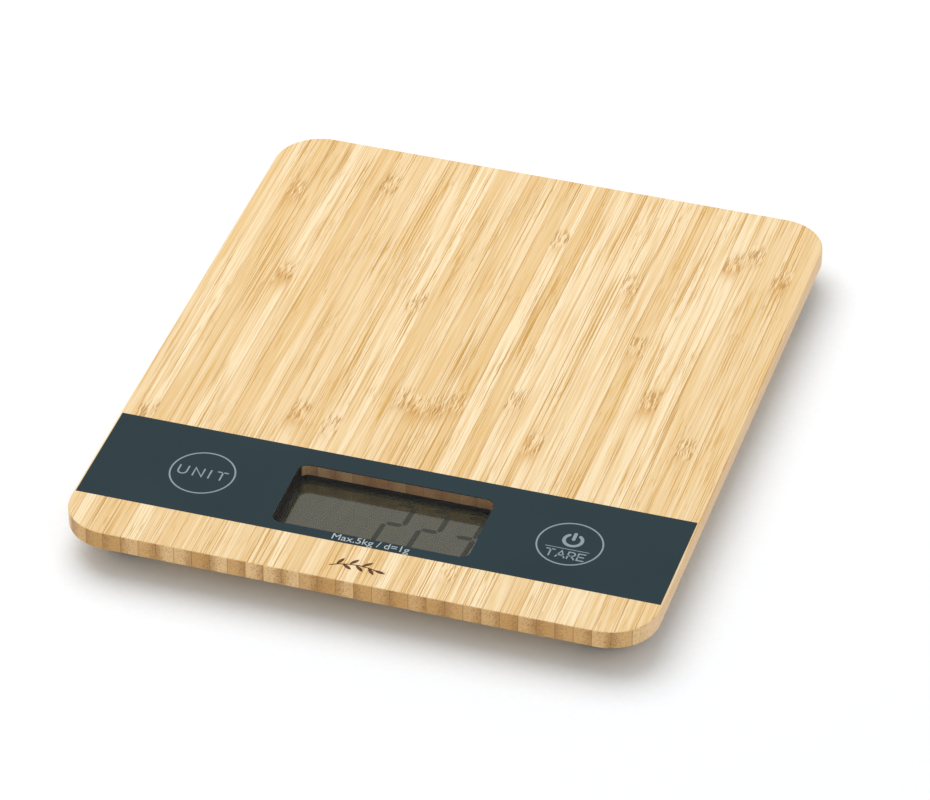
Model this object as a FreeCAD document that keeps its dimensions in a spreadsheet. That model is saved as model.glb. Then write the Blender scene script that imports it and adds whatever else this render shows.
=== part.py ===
"""A slim kitchen scale: a bamboo platform on four load-cell feet, a film panel and a display well.

Millimetres. The origin is on the table under the middle of the platform, the display side faces -Y
and +Z is up.
"""
import FreeCAD, Part
import math
import os
import re
import Sketcher

Vector = FreeCAD.Vector
UP = Vector(0, 0, 1)
# an edge lower than this is level, and a pocket that takes away less than this volume cuts nothing
FLAT = 1e-6
LEAST_CUT = 1e-3

# The driving sizes, one row of the sheet each.
SIZES = {
    # platform
    "board_width": 180,
    "board_depth": 215,
    "board_thickness": 6,
    "board_corner": 15,
    "board_edge_round": 0.6,
    "stand_height": 9.3,
    # film panel and its window
    "film_front_margin": 17,
    "film_depth": 40,
    "film_thickness": 0.25,
    "film_side_margin": 0.6,
    "window_width": 60.5,
    "window_depth": 28.5,
    "window_front_margin": 20.9,
    "window_corner": 3,
    # film keys
    "key_spacing": 113.2,
    "key_front_margin": 36.2,
    "key_radius": 10,
    "key_cut_gap": 0.05,
    "key_head_thickness": 0.8,
    "key_head_inset": 0.5,
    "key_stem_radius": 2.5,
    "key_stem_gap": 0.4,
    "key_travel": 0.3,
    "key_head_gap": 0.2,
    # display stack
    "well_wall_height": 3.7,
    "bezel_setback": 0.4,
    "bezel_corner": 1.7,
    "bezel_gap": 0.1,
    "bezel_plate": 1.5,
    "bezel_wall": 3.1,
    "bezel_end_wall": 2.2,
    "pocket_gap": 0.3,
    "polariser_thickness": 0.2,
    "front_glass_thickness": 1.1,
    "rear_glass_thickness": 1.1,
    "reflector_thickness": 0.2,
    "glass_width": 66.6,
    "glass_corner": 0.5,
    "glass_front_margin": 18.3,
    "rear_glass_depth": 33.6,
    "glass_ledge": 3,
    "glass_gap": 0.3,
    "zebra_width": 2,
    "zebra_length": 64,
    "film_inset": 0.5,
    "foam_length": 60,
    "foam_width": 2.4,
    # pod under the platform
    "pod_side_room": 12.7,
    "pod_front_margin": 14.5,
    "pod_corner": 4,
    "pod_wall": 1.4,
    "pod_plate": 1.2,
    "pod_floor": 1.8,
    "pod_ground_gap": 2.3,
    "arm_end": 62.5,
    "arm_width": 11.2,
    "arm_corner": 3,
    # circuit board and switches
    "circuit_thickness": 1.2,
    "circuit_lift": 1.2,
    "circuit_width": 77,
    "circuit_front_margin": 18,
    "circuit_depth": 42,
    "circuit_corner": 1,
    "circuit_arm_end": 60.8,
    "circuit_arm_corner": 1.3,
    "circuit_gap": 0.4,
    "post_radius": 1.8,
    "post_inset": 3.5,
    "switch_width": 6,
    "switch_height": 1.5,
    "switch_well": 1,
    "actuator_radius": 1.75,
    "actuator_gap": 0.05,
    "actuator_height": 2.1,
    "actuator_float": 0.1,
    # coin cell, its contacts and the door
    "cell_radius": 10,
    "cell_thickness": 3.2,
    "cell_cap_radius": 8.7,
    "cell_cap_height": 0.2,
    "cell_gap": 0.3,
    "cell_wall": 1.4,
    "ring_front_room": 2.3,
    "ring_rear_room": 0.9,
    "contact_thickness": 0.3,
    "contact_width": 3,
    "contact_reach": 6.5,
    "contact_gap": 0.2,
    "contact_groove": 0.4,
    "contact_leg_inset": 2.4,
    "clip_width": 6,
    "clip_gap": 0.3,
    "clip_top_gap": 0.4,
    "clip_tab_reach": 2,
    "notch_overrun": 1,
    "door_side_room": 2,
    "door_thickness": 1.6,
    "door_lip": 0.1,
    "door_gap": 0.25,
    "door_pad": 8,
    "door_pad_gap": 0.05,
    "hinge_room": 0.7,
    "pin_radius": 0.45,
    "pin_gap": 0.05,
    "pin_length": 1.4,
    "pin_end_gap": 0.3,
    "catch_width": 3,
    "catch_height": 0.6,
    "catch_root": 0.5,
    "catch_gap": 0.1,
    "nail_slot_inset": 2,
    "nail_slot_width": 1.4,
    "nail_slot_depth": 0.6,
    # screws
    "small_screw_radius": 0.8,
    "small_head_radius": 1.9,
    "small_screw_bite": 0.5,
    "small_screw_play": 0.1,
    "small_head_play": 0.2,
    "screw_radius": 1,
    "head_radius": 2,
    "head_height": 1,
    "screw_depth": 3.5,
    "screw_gap": 0.05,
    "tip_gap": 0.2,
    "recess_reach": 1.6,
    "recess_width": 0.5,
    "recess_depth": 0.5,
    "boss_radius": 2.3,
    "boss_inset": 0.7,
    "tab_reach": 3.8,
    "tab_radius": 3.6,
    "tab_front": 45.5,
    "tab_rear": 67.5,
    # feet
    "foot_side_margin": 18,
    "foot_front_margin": 22,
    "foot_rear_margin": 22,
    "holder_radius": 12.5,
    "holder_wall": 1.2,
    "holder_top": 1.2,
    "holder_ground_gap": 2.6,
    "lip_height": 0.8,
    "lip_radius": 9.6,
    "flange_radius": 10.4,
    "flange_height": 1,
    "flange_gap": 0.1,
    "foot_radius": 9,
    "foot_stem_radius": 2.5,
    "pad_radius": 8,
    "pad_height": 1.2,
    "load_cell_length": 16,
    "load_cell_width": 15,
    "load_cell_thickness": 1.2,
    "load_cell_slot": 0.8,
    "tongue_width": 7,
    "tongue_length": 11,
    "holder_post": 3,
    "ear_reach": 14.6,
    "ear_radius": 3.2,
    "ear_thickness": 1.5,
    # gauges, wires and their channels
    "gauge_length": 6,
    "gauge_width": 5,
    "gauge_height": 0.65,
    "gauge_gap": 0.05,
    "wire_radius": 0.33,
    "wire_pitch": 0.9,
    "wire_gap": 0.02,
    "wire_slot_sink": 0.1,
    "rear_slot_length": 8,
    "rear_wire_exit": 34,
    "wire_pad_length": 2,
    "wire_slope_length": 3.5,
    "channel_width": 5.6,
    "channel_wall": 0.8,
    "channel_height": 2.9,
    "channel_gap": 0.2,
    # parts on the circuit board
    "blob_radius": 5,
    "blob_top_radius": 3.4,
    "blob_height": 0.8,
    "chip_part_height": 0.7,
    "part_pitch": 5,
    "part_row": 8,
    "resistor_length": 1.6,
    "resistor_width": 0.8,
    "capacitor_length": 2,
    "capacitor_width": 1.2,
    "regulator_length": 5,
    "regulator_width": 4,
    "diode_length": 3.2,
    "diode_width": 1.6,
}

# Places and fits that follow from the sizes.
PLACES = {
    # levels
    "underside": "stand_height",
    "board_top": "underside + board_thickness",
    "film_base": "board_top - film_thickness",
    "well_floor": "board_top - well_wall_height",
    "bezel_top": "well_floor - bezel_gap",
    "glass_top": "bezel_top - bezel_plate",
    "front_glass_top": "glass_top - polariser_thickness",
    "rear_glass_top": "front_glass_top - front_glass_thickness",
    "reflector_top": "rear_glass_top - rear_glass_thickness",
    "reflector_base": "reflector_top - reflector_thickness",
    "plate_base": "underside - pod_plate",
    "floor_top": "pod_ground_gap + pod_floor",
    "circuit_base": "floor_top + circuit_lift",
    "circuit_top": "circuit_base + circuit_thickness",
    # front to back
    "front_edge": "0 - board_depth / 2",
    "rear_edge": "board_depth / 2",
    "film_middle": "front_edge + film_front_margin + film_depth / 2",
    "window_middle": "front_edge + window_front_margin + window_depth / 2",
    "key_row": "front_edge + key_front_margin",
    "glass_front": "front_edge + glass_front_margin",
    "rear_glass_rear": "glass_front + rear_glass_depth",
    "front_glass_rear": "rear_glass_rear + glass_ledge",
    "front_glass_depth": "rear_glass_depth + glass_ledge",
    "front_glass_middle": "glass_front + front_glass_depth / 2",
    "circuit_front": "front_edge + circuit_front_margin",
    "circuit_rear": "circuit_front + circuit_depth",
    "ring_inner": "cell_radius + cell_gap",
    "ring_outer": "ring_inner + cell_wall",
    "cell_middle": "circuit_rear + ring_front_room + ring_outer",
    "hinge_line": "cell_middle - cell_radius - hinge_room",
    "door_rear": "cell_middle + cell_radius + cell_wall + door_lip",
    "pod_front": "front_edge + pod_front_margin",
    "pod_rear": "cell_middle + ring_outer + ring_rear_room + pod_wall",
    "pod_depth": "pod_rear - (pod_front)",
    "pod_middle": "(pod_front + pod_rear) / 2",
    # across the pod
    "pod_width": "glass_width + 2 * pod_side_room",
    # bezel block and the pocket over it
    "bezel_width": "glass_width + 2 * (glass_gap + bezel_wall)",
    "bezel_depth": "front_glass_depth + 2 * (glass_gap + bezel_end_wall)",
    "pocket_corner": "bezel_corner + pocket_gap",
    # keys
    "key_side": "key_spacing / 2",
    "key_hole_radius": "key_radius + key_cut_gap",
    "key_well_radius": "key_radius + 2 * key_cut_gap",
    "key_well_floor": "film_base - key_head_thickness - key_travel - key_head_gap",
    "key_head_radius": "key_radius - key_head_inset",
    "key_head_base": "film_base - key_head_thickness",
    "key_stem_hole": "key_stem_radius + key_stem_gap",
    "switch_top": "circuit_top + switch_height",
    "actuator_base": "switch_top - switch_well + key_travel + actuator_float",
    "actuator_top": "actuator_base + actuator_height",
    # cell and door
    "hinge_level": "pod_ground_gap + door_thickness / 2",
    "door_top": "pod_ground_gap + door_thickness",
    "cell_base": "floor_top",
    "cell_top": "cell_base + cell_thickness",
    "door_width": "2 * (cell_radius + door_side_room)",
    "opening_front": "hinge_line - door_thickness / 2 - door_gap",
    "opening_rear": "door_rear + door_gap",
    # screws
    "pilot_radius": "screw_radius + screw_gap",
    "screw_tip": "underside + screw_depth",
    "pilot_top": "screw_tip + tip_gap",
    "boss_side": "pod_width / 2 - pod_wall - boss_radius - boss_inset",
    "boss_front": "pod_front + pod_wall + boss_radius",
    "boss_rear": "pod_rear - pod_wall - boss_radius - boss_inset",
    "small_screw_tip": "plate_base + small_screw_bite",
    "tab_side": "pod_width / 2 + tab_reach",
    # feet
    "foot_side": "board_width / 2 - foot_side_margin",
    "front_foot_row": "front_edge + foot_front_margin",
    "rear_foot_row": "rear_edge - foot_rear_margin",
    "holder_inner": "holder_radius - holder_wall",
    "holder_ceiling": "underside - holder_top",
    "lip_top": "holder_ground_gap + lip_height",
    "flange_base": "lip_top + flange_gap",
    "flange_top": "flange_base + flange_height",
    "load_cell_top": "holder_ceiling - gauge_height - gauge_gap",
    "load_cell_base": "load_cell_top - load_cell_thickness",
    "ear_base": "underside - ear_thickness",
    # wires
    "wire_level": "plate_base - wire_gap - wire_radius",
    "wire_pad_level": "circuit_top + wire_gap / 2 + wire_radius",
    "wire_slot_base": "load_cell_top - wire_slot_sink",
    "wire_slot_width": "2 * (wire_pitch + wire_radius + channel_gap)",
    "rear_wire_run": "rear_foot_row - pod_rear",
    "rear_wire_step": "foot_side - rear_wire_exit",
    "channel_base": "underside - channel_height",
    "channel_inner_width": "channel_width - 2 * channel_wall",
}

doc = FreeCAD.newDocument("kitchen_scale")
sheet = doc.addObject("Spreadsheet::Sheet", "sizes")
for row, (alias, size) in enumerate(SIZES.items(), start=1):
    sheet.set(f"A{row}", alias.replace("_", " "))
    sheet.set(f"B{row}", str(size))
    sheet.setAlias(f"B{row}", alias)
doc.recompute()


def formula(text):
    """The text with its places written out and its sizes read from the sheet."""

    def replaced(match):
        word = match.group()
        if word in PLACES:
            return "(" + formula(PLACES[word]) + ")"
        return "sizes." + word if word in SIZES else word

    return re.sub(r"[a-z_]+", replaced, text)


def value(text):
    """The number that a formula gives now."""
    result = sheet.evalExpression(formula(text))
    return float(getattr(result, "Value", result))


def bind(item, formulas):
    for name, text in formulas.items():
        item.setExpression(name, formula(text))


# ---- sketches and features of a body


def new_body(label):
    body = doc.addObject("PartDesign::Body", label)
    body.Label = label
    body.AllowCompound = True
    return body


def new_sketch(body, x, y, z, turn="0", plane="XY_Plane"):
    """A sketch on one of the body's own origin planes, moved to x, y, z along that plane's axes."""
    sketch = body.newObject("Sketcher::SketchObject", body.Label + "_outline")
    support = next(f for f in body.Origin.OriginFeatures if f.Role == plane)
    sketch.AttachmentSupport = (support, [""])
    sketch.MapMode = "FlatFace"
    bind(sketch, {"AttachmentOffset.Base.x": x, "AttachmentOffset.Base.y": y})
    bind(sketch, {"AttachmentOffset.Base.z": z, "AttachmentOffset.Rotation.Angle": turn})
    return sketch


def constrain(sketch, kind, *where, size=None):
    """One constraint, bound to a formula where it has a size."""
    if size is None:
        sketch.addConstraint(Sketcher.Constraint(kind, *where))
        return
    index = sketch.addConstraint(Sketcher.Constraint(kind, *where, value(size)))
    bind(sketch, {f"Constraints[{index}]": size})


def draw_circle(sketch, radius):
    circle = sketch.addGeometry(Part.Circle(Vector(), UP, value(radius)))
    constrain(sketch, "Coincident", circle, 3, -1, 1)
    constrain(sketch, "Radius", circle, size=radius)


def draw_rectangle(sketch, length, width, corner):
    """A rectangle about the sketch's own middle, with its corners rounded where a corner is given."""
    x, y = value(length) / 2, value(width) / 2
    r = value(corner) if corner else 0
    ends = [
        (Vector(r - x, -y), Vector(x - r, -y)),
        (Vector(x, r - y), Vector(x, y - r)),
        (Vector(x - r, y), Vector(r - x, y)),
        (Vector(-x, y - r), Vector(-x, r - y)),
    ]
    lines = [sketch.addGeometry(Part.LineSegment(start, end)) for start, end in ends]
    for line, kind in zip(lines, ("Horizontal", "Vertical") * 2):
        constrain(sketch, kind, line)
    if corner:
        middles = [Vector(x - r, r - y), Vector(x - r, y - r), Vector(r - x, y - r), Vector(r - x, r - y)]
        arcs = []
        for quarter, middle in enumerate(middles):
            start = (quarter - 1) * math.pi / 2
            circle = Part.Circle(middle, UP, r)
            arcs.append(sketch.addGeometry(Part.ArcOfCircle(circle, start, start + math.pi / 2)))
            constrain(sketch, "Tangent", lines[quarter], 2, arcs[quarter], 1)
            constrain(sketch, "Tangent", arcs[quarter], 2, lines[(quarter + 1) % 4], 1)
        for arc in arcs[1:]:
            constrain(sketch, "Equal", arcs[0], arc)
        constrain(sketch, "Radius", arcs[0], size=corner)
        constrain(sketch, "Symmetric", arcs[0], 3, arcs[2], 3, -1, 1)
    else:
        for quarter in range(4):
            constrain(sketch, "Coincident", lines[quarter], 2, lines[(quarter + 1) % 4], 1)
        constrain(sketch, "Symmetric", lines[0], 1, lines[2], 1, -1, 1)
    constrain(sketch, "DistanceX", lines[3], 1, lines[1], 1, size=length)
    constrain(sketch, "DistanceY", lines[0], 1, lines[2], 1, size=width)


def extrude(body, sketch, length, cut):
    """Adds the sketch's outline along its normal, or with cut removes it against its normal."""
    feature = body.newObject("PartDesign::Pocket" if cut else "PartDesign::Pad", body.Label + "_step")
    feature.Profile = sketch
    bind(feature, {"Length": length})
    return feature


def block(body, x, y, length, width, low, high, corner=None, turn="0", cut=False):
    """A straight-sided block or hollow, centred at x, y and from low to high."""
    sketch = new_sketch(body, x, y, high if cut else low, turn)
    draw_rectangle(sketch, length, width, corner)
    return extrude(body, sketch, f"{high} - ({low})", cut)


def disc(body, x, y, radius, low, high, cut=False):
    """A round step or bore about an upright axis."""
    sketch = new_sketch(body, x, y, high if cut else low)
    draw_circle(sketch, radius)
    return extrude(body, sketch, f"{high} - ({low})", cut)


def rod(body, x, y, z, radius, length, cut=False):
    """A round step or bore that runs along X from x, and with cut ends at x."""
    sketch = new_sketch(body, y, z, x, plane="YZ_Plane")
    draw_circle(sketch, radius)
    return extrude(body, sketch, length, cut)


def span(low, high):
    """The middle and the length of a stretch."""
    return f"(({low}) + ({high})) / 2", f"({high}) - ({low})"


SIDES = {"left": "-1", "right": "1"}
ROWS = {"front": "front_foot_row", "rear": "rear_foot_row"}
FILM_WIDTH = "board_width - 2 * film_side_margin"
KEYS = {"unit": "0 - key_side", "tare": "key_side"}
BOSSES = [
    (f"{side} * boss_side", row)
    for side in SIDES.values()
    for row in ("boss_front", "boss_rear")
]
TABS = [
    (f"{side} * tab_side", f"pod_front + {place}")
    for side in SIDES.values()
    for place in ("tab_front", "tab_rear")
]
FEET = [(row, side, f"{sign} * foot_side", ROWS[row]) for row in ROWS for side, sign in SIDES.items()]
EAR_TURNS = {
    ("front", "left"): "90",
    ("front", "right"): "90",
    ("rear", "left"): "45",
    ("rear", "right"): "135",
}


def ear_places(row, side, x, y, reach="ear_reach"):
    """The two places at a reach from a foot's middle, on the line of its screw ears."""
    turn = EAR_TURNS[row, side]
    return [
        (f"{x} + {way} * {reach} * cos({turn})", f"{y} + {way} * {reach} * sin({turn})")
        for way in SIDES.values()
    ]


EARS = [place for foot in FEET for place in ear_places(*foot)]


def pod_outline(body, low, high, inset="0", cut=False):
    """The pod's outline: a rounded rectangle and an arm that reaches under both keys."""
    main = (f"pod_width - 2 * {inset}", f"pod_depth - 2 * {inset}")
    arm = (f"2 * (arm_end - {inset})", f"arm_width - 2 * {inset}")
    block(body, "0", "pod_middle", *main, low, high, f"pod_corner - {inset}", cut=cut)
    block(body, "0", "key_row", *arm, low, high, f"arm_corner - {inset}", cut=cut)


# ---- platform and panel


def bamboo_platform():
    body = new_body("bamboo_platform")
    board = block(body, "0", "0", "board_width", "board_depth", "underside", "board_top", "board_corner")
    doc.recompute()
    rims = [i for i, edge in enumerate(board.Shape.Edges, start=1) if edge.BoundBox.ZLength < FLAT]
    fillet = body.newObject("PartDesign::Fillet", "board_edges")
    fillet.Base = (board, [f"Edge{i}" for i in rims])
    bind(fillet, {"Radius": "board_edge_round"})
    film = (FILM_WIDTH, "film_depth", "film_base", "board_top")
    block(body, "0", "film_middle", *film, cut=True)
    window = ("window_width", "window_depth", "underside", "board_top", "window_corner")
    block(body, "0", "window_middle", *window, cut=True)
    pocket = ("bezel_width + 2 * pocket_gap", "bezel_depth + 2 * pocket_gap", "underside", "well_floor")
    block(body, "0", "front_glass_middle", *pocket, "pocket_corner", cut=True)
    for x in KEYS.values():
        disc(body, x, "key_row", "key_well_radius", "key_well_floor", "board_top", cut=True)
        disc(body, x, "key_row", "key_stem_hole", "underside", "key_well_floor", cut=True)
    for x, y in TABS + EARS:
        disc(body, x, y, "pilot_radius", "underside", "pilot_top", cut=True)
    return body


def panel_film():
    body = new_body("panel_film")
    block(body, "0", "film_middle", FILM_WIDTH, "film_depth", "film_base", "board_top")
    window = ("window_width", "window_depth", "film_base", "board_top", "window_corner")
    block(body, "0", "window_middle", *window, cut=True)
    for x in KEYS.values():
        disc(body, x, "key_row", "key_hole_radius", "film_base", "board_top", cut=True)
    return body


def display_window():
    body = new_body("display_window")
    window = ("window_width", "window_depth", "film_base", "board_top", "window_corner")
    block(body, "0", "window_middle", *window)
    return body


def key(name, x):
    """The film disc of a key, the plunger under it and the switch that it presses."""
    disc(new_body(f"{name}_key_film"), x, "key_row", "key_radius", "film_base", "board_top")
    plunger = new_body(f"{name}_key_plunger")
    disc(plunger, x, "key_row", "key_head_radius", "key_head_base", "film_base")
    disc(plunger, x, "key_row", "key_stem_radius", "actuator_top", "key_head_base")
    actuator = new_body(f"{name}_switch_actuator")
    disc(actuator, x, "key_row", "actuator_radius", "actuator_base", "actuator_top")
    switch = new_body(f"{name}_switch_body")
    block(switch, x, "key_row", "switch_width", "switch_width", "circuit_top", "switch_top")
    bore = "actuator_radius + actuator_gap"
    disc(switch, x, "key_row", bore, "switch_top - switch_well", "switch_top", cut=True)


# ---- housing


def upper_housing():
    body = new_body("upper_housing")
    pod_outline(body, "plate_base", "underside")
    bezel = ("bezel_width", "bezel_depth", "plate_base", "bezel_top")
    block(body, "0", "front_glass_middle", *bezel, "bezel_corner")
    for x, y in TABS:
        disc(body, x, y, "tab_radius", "plate_base", "underside")
        inboard = f"({x}) * (tab_side - tab_reach / 2) / tab_side"
        block(body, inboard, y, "tab_reach", "2 * tab_radius", "plate_base", "underside")
    for x, y in BOSSES:
        disc(body, x, y, "boss_radius", "floor_top", "plate_base")
    disc(body, "0", "cell_middle", "ring_outer", "floor_top", "plate_base")
    disc(body, "0", "cell_middle", "ring_inner", "floor_top", "plate_base", cut=True)
    cavity = ("glass_width + 2 * glass_gap", "front_glass_depth + 2 * glass_gap", "plate_base", "glass_top")
    block(body, "0", "front_glass_middle", *cavity, "glass_corner", cut=True)
    view = ("window_width - 2 * bezel_setback", "window_depth - 2 * bezel_setback")
    block(body, "0", "window_middle", *view, "glass_top", "bezel_top", "window_corner", cut=True)
    for x in KEYS.values():
        disc(body, x, "key_row", "key_stem_hole", "plate_base", "underside", cut=True)
    for x, y in TABS:
        disc(body, x, y, "pilot_radius", "plate_base", "underside", cut=True)
    for x, y in BOSSES:
        hole = "small_screw_radius + screw_gap"
        disc(body, x, y, hole, "floor_top", "small_screw_tip + tip_gap", cut=True)
    clip_front = "cell_middle - ring_outer - notch_overrun"
    clip_y, clip_depth = span(clip_front, "cell_middle - cell_radius + notch_overrun")
    clip = ("clip_width + 2 * clip_gap", clip_depth, "floor_top", "plate_base")
    block(body, "0", clip_y, *clip, cut=True)
    strip_y, strip_depth = span("cell_middle - ring_outer", "cell_middle - cell_radius / 2")
    strip = ("contact_width + 2 * contact_gap", strip_depth, "plate_base - contact_groove", "plate_base")
    block(body, "contact_reach", strip_y, *strip, cut=True)
    return body


def rear_cover():
    body = new_body("rear_cover")
    pod_outline(body, "pod_ground_gap", "plate_base")
    pod_outline(body, "floor_top", "plate_base", inset="pod_wall", cut=True)
    for x in SIDES.values():
        for y in ("circuit_front + post_inset", "circuit_rear - post_inset"):
            post_x = f"{x} * (circuit_width / 2 - post_inset)"
            disc(body, post_x, y, "post_radius", "floor_top", "circuit_base")
    for x in KEYS.values():
        disc(body, x, "key_row", "post_radius", "floor_top", "circuit_base")
    opening_y, opening_depth = span("opening_front", "opening_rear")
    opening = ("door_width + 2 * door_gap", opening_depth, "pod_ground_gap", "floor_top")
    block(body, "0", opening_y, *opening, cut=True)
    hole_end = "door_width / 2 + pin_length + pin_end_gap"
    rod(body, hole_end, "hinge_line", "hinge_level", "pin_radius + pin_gap", f"2 * ({hole_end})", cut=True)
    for x, y in BOSSES:
        disc(body, x, y, "small_screw_radius + small_screw_play", "pod_ground_gap", "floor_top", cut=True)
        seat = "pod_ground_gap + head_height"
        disc(body, x, y, "small_head_radius + small_head_play", "pod_ground_gap", seat, cut=True)
    slots_x, slots_length = span("0 - pod_width / 2 - notch_overrun", "pod_width / 2 + notch_overrun")
    slots = (slots_length, "wire_slot_width", "wire_slot_base", "plate_base")
    block(body, slots_x, "front_foot_row", *slots, cut=True)
    for side in SIDES.values():
        turn = f"atan2(rear_wire_run; {side} * rear_wire_step)"
        slot = ("rear_slot_length", "wire_slot_width", "wire_slot_base", "plate_base")
        block(body, f"{side} * rear_wire_exit", "pod_rear", *slot, turn=turn, cut=True)
    return body


# ---- display and circuit


def display():
    """The liquid crystal display, from its polariser down to the foam that presses it up."""
    rear_middle, rear_depth = span("glass_front", "rear_glass_rear")
    film = ("glass_width - 2 * film_inset", f"{rear_depth} - 2 * film_inset")
    polariser = new_body("lcd_front_polariser")
    block(polariser, "0", rear_middle, *film, "front_glass_top", "glass_top")
    front_glass = new_body("lcd_front_glass")
    front_pane = ("glass_width", "front_glass_depth", "rear_glass_top", "front_glass_top")
    block(front_glass, "0", "front_glass_middle", *front_pane)
    rear_glass = new_body("lcd_rear_glass")
    block(rear_glass, "0", rear_middle, "glass_width", rear_depth, "reflector_top", "rear_glass_top")
    reflector = new_body("lcd_reflector")
    block(reflector, "0", rear_middle, *film, "reflector_base", "reflector_top")
    zebra = new_body("zebra_connector")
    zebra_row = "front_glass_rear - glass_ledge / 2"
    block(zebra, "0", zebra_row, "zebra_length", "zebra_width", "circuit_top", "rear_glass_top")
    foam = new_body("lcd_foam_strip")
    foam_row = "glass_front + foam_width"
    block(foam, "0", foam_row, "foam_length", "foam_width", "circuit_top", "reflector_base")


def main_board():
    body = new_body("main_board")
    middle, depth = span("circuit_front", "circuit_rear")
    block(body, "0", middle, "circuit_width", depth, "circuit_base", "circuit_top", "circuit_corner")
    arm_width = "arm_width - 2 * (pod_wall + circuit_gap)"
    arm = ("2 * circuit_arm_end", arm_width, "circuit_base", "circuit_top", "circuit_arm_corner")
    block(body, "0", "key_row", *arm)
    return body


def board_parts():
    """The chip under its epoxy blob and the small parts, on the underside of the circuit board."""
    blob = doc.addObject("Part::Cone", "chip_blob")
    blob.Label = "chip_blob"
    bind(blob, {"Radius1": "blob_top_radius", "Radius2": "blob_radius", "Height": "blob_height"})
    bind(blob, {"Placement.Base.x": "0 - circuit_width / 6", "Placement.Base.y": "key_row"})
    bind(blob, {"Placement.Base.z": "circuit_base - blob_height"})
    parts = new_body("smd_components")
    levels = ("circuit_base - chip_part_height", "circuit_base")
    for column in range(5):
        x = f"circuit_width / 12 + {column} * part_pitch"
        block(parts, x, "key_row + part_row", "resistor_length", "resistor_width", *levels)
        block(parts, x, "key_row - part_row", "capacitor_length", "capacitor_width", *levels)
    block(parts, "circuit_width / 6", "key_row", "regulator_length", "regulator_width", *levels)
    block(parts, "0 - circuit_width / 3", "key_row", "diode_length", "diode_width", *levels)


# ---- power


def coin_cell():
    body = new_body("coin_cell")
    can_top = "cell_top - cell_cap_height"
    disc(body, "0", "cell_middle", "cell_radius", "cell_base", can_top)
    disc(body, "0", "cell_middle", "cell_cap_radius", can_top, "cell_top")
    return body


def battery_contacts():
    """A leaf over the cell and a clip at its side, both soldered to the circuit board."""
    leaf = new_body("battery_contact_negative")
    low, high = "plate_base - contact_thickness", "plate_base"
    leg_y = "circuit_rear - contact_leg_inset"
    strip_y, strip_depth = span(leg_y, "cell_middle + contact_width / 2")
    block(leaf, "contact_reach", strip_y, "contact_width", strip_depth, low, high)
    arm_x, arm_length = span("0 - contact_width / 2", "contact_reach + contact_width / 2")
    block(leaf, arm_x, "cell_middle", arm_length, "contact_width", low, high)
    disc(leaf, "0", "cell_middle", "contact_width / 2", "cell_top", high)
    leg_middle = f"{leg_y} + contact_thickness / 2"
    block(leaf, "contact_reach", leg_middle, "contact_width", "contact_thickness", "circuit_top", high)
    clip = new_body("battery_contact_positive")
    face = "cell_middle - cell_radius"
    face_y, face_depth = span(f"{face} - contact_thickness", face)
    block(clip, "0", face_y, "clip_width", face_depth, "cell_base + clip_gap", "cell_top - clip_top_gap")
    tab_y, tab_depth = span("circuit_rear - clip_tab_reach", f"{face} - contact_thickness / 2")
    tab = ("clip_width / 2", tab_depth, "circuit_top", "circuit_top + contact_thickness")
    block(clip, "0", tab_y, *tab)


def battery_door():
    body = new_body("battery_door")
    plate_y, plate_depth = span("hinge_line", "door_rear")
    block(body, "0", plate_y, "door_width", plate_depth, "pod_ground_gap", "door_top")
    rod(body, "0 - door_width / 2", "hinge_line", "hinge_level", "door_thickness / 2", "door_width")
    pins = "door_width + 2 * pin_length"
    rod(body, f"0 - ({pins}) / 2", "hinge_line", "hinge_level", "pin_radius", pins)
    pad = ("door_pad", "door_pad", "door_top", "cell_base - door_pad_gap")
    block(body, "0", "cell_middle", *pad)
    catch_y, catch_depth = span("door_rear - catch_root", "door_rear + door_gap - catch_gap")
    catch = ("catch_width", catch_depth, "hinge_level - catch_height / 2", "hinge_level + catch_height / 2")
    for side in SIDES.values():
        block(body, f"{side} * door_width / 4", catch_y, *catch)
    nail_slot = ("door_width / 3", "nail_slot_width", "pod_ground_gap", "pod_ground_gap + nail_slot_depth")
    block(body, "0", "door_rear - nail_slot_inset", *nail_slot, cut=True)
    return body


# ---- screws


def screw(body, x, y, head, thread, low, tip):
    """One pan-head screw from below, with a cross recess."""
    disc(body, x, y, head, low, f"{low} + head_height")
    disc(body, x, y, thread, f"{low} + head_height", tip)
    reach = f"recess_reach * {thread}"
    for length, width in ((reach, "recess_width"), ("recess_width", reach)):
        block(body, x, y, length, width, low, f"{low} + recess_depth", cut=True)


def screws():
    cover = new_body("cover_screws")
    for x, y in BOSSES:
        screw(cover, x, y, "small_head_radius", "small_screw_radius", "pod_ground_gap", "small_screw_tip")
    housing = new_body("housing_screws")
    for x, y in TABS:
        screw(housing, x, y, "head_radius", "screw_radius", "plate_base - head_height", "screw_tip")
    feet = new_body("foot_screws")
    for x, y in EARS:
        screw(feet, x, y, "head_radius", "screw_radius", "ear_base - head_height", "screw_tip")


# ---- feet


def wire_turn(row, side):
    """The direction that a foot's wires leave in, and its angle."""
    sign = SIDES[side]
    if row == "front":
        return "180" if side == "right" else "0"
    return f"atan2(0 - rear_wire_run; (0 - ({sign})) * rear_wire_step)"


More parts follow.
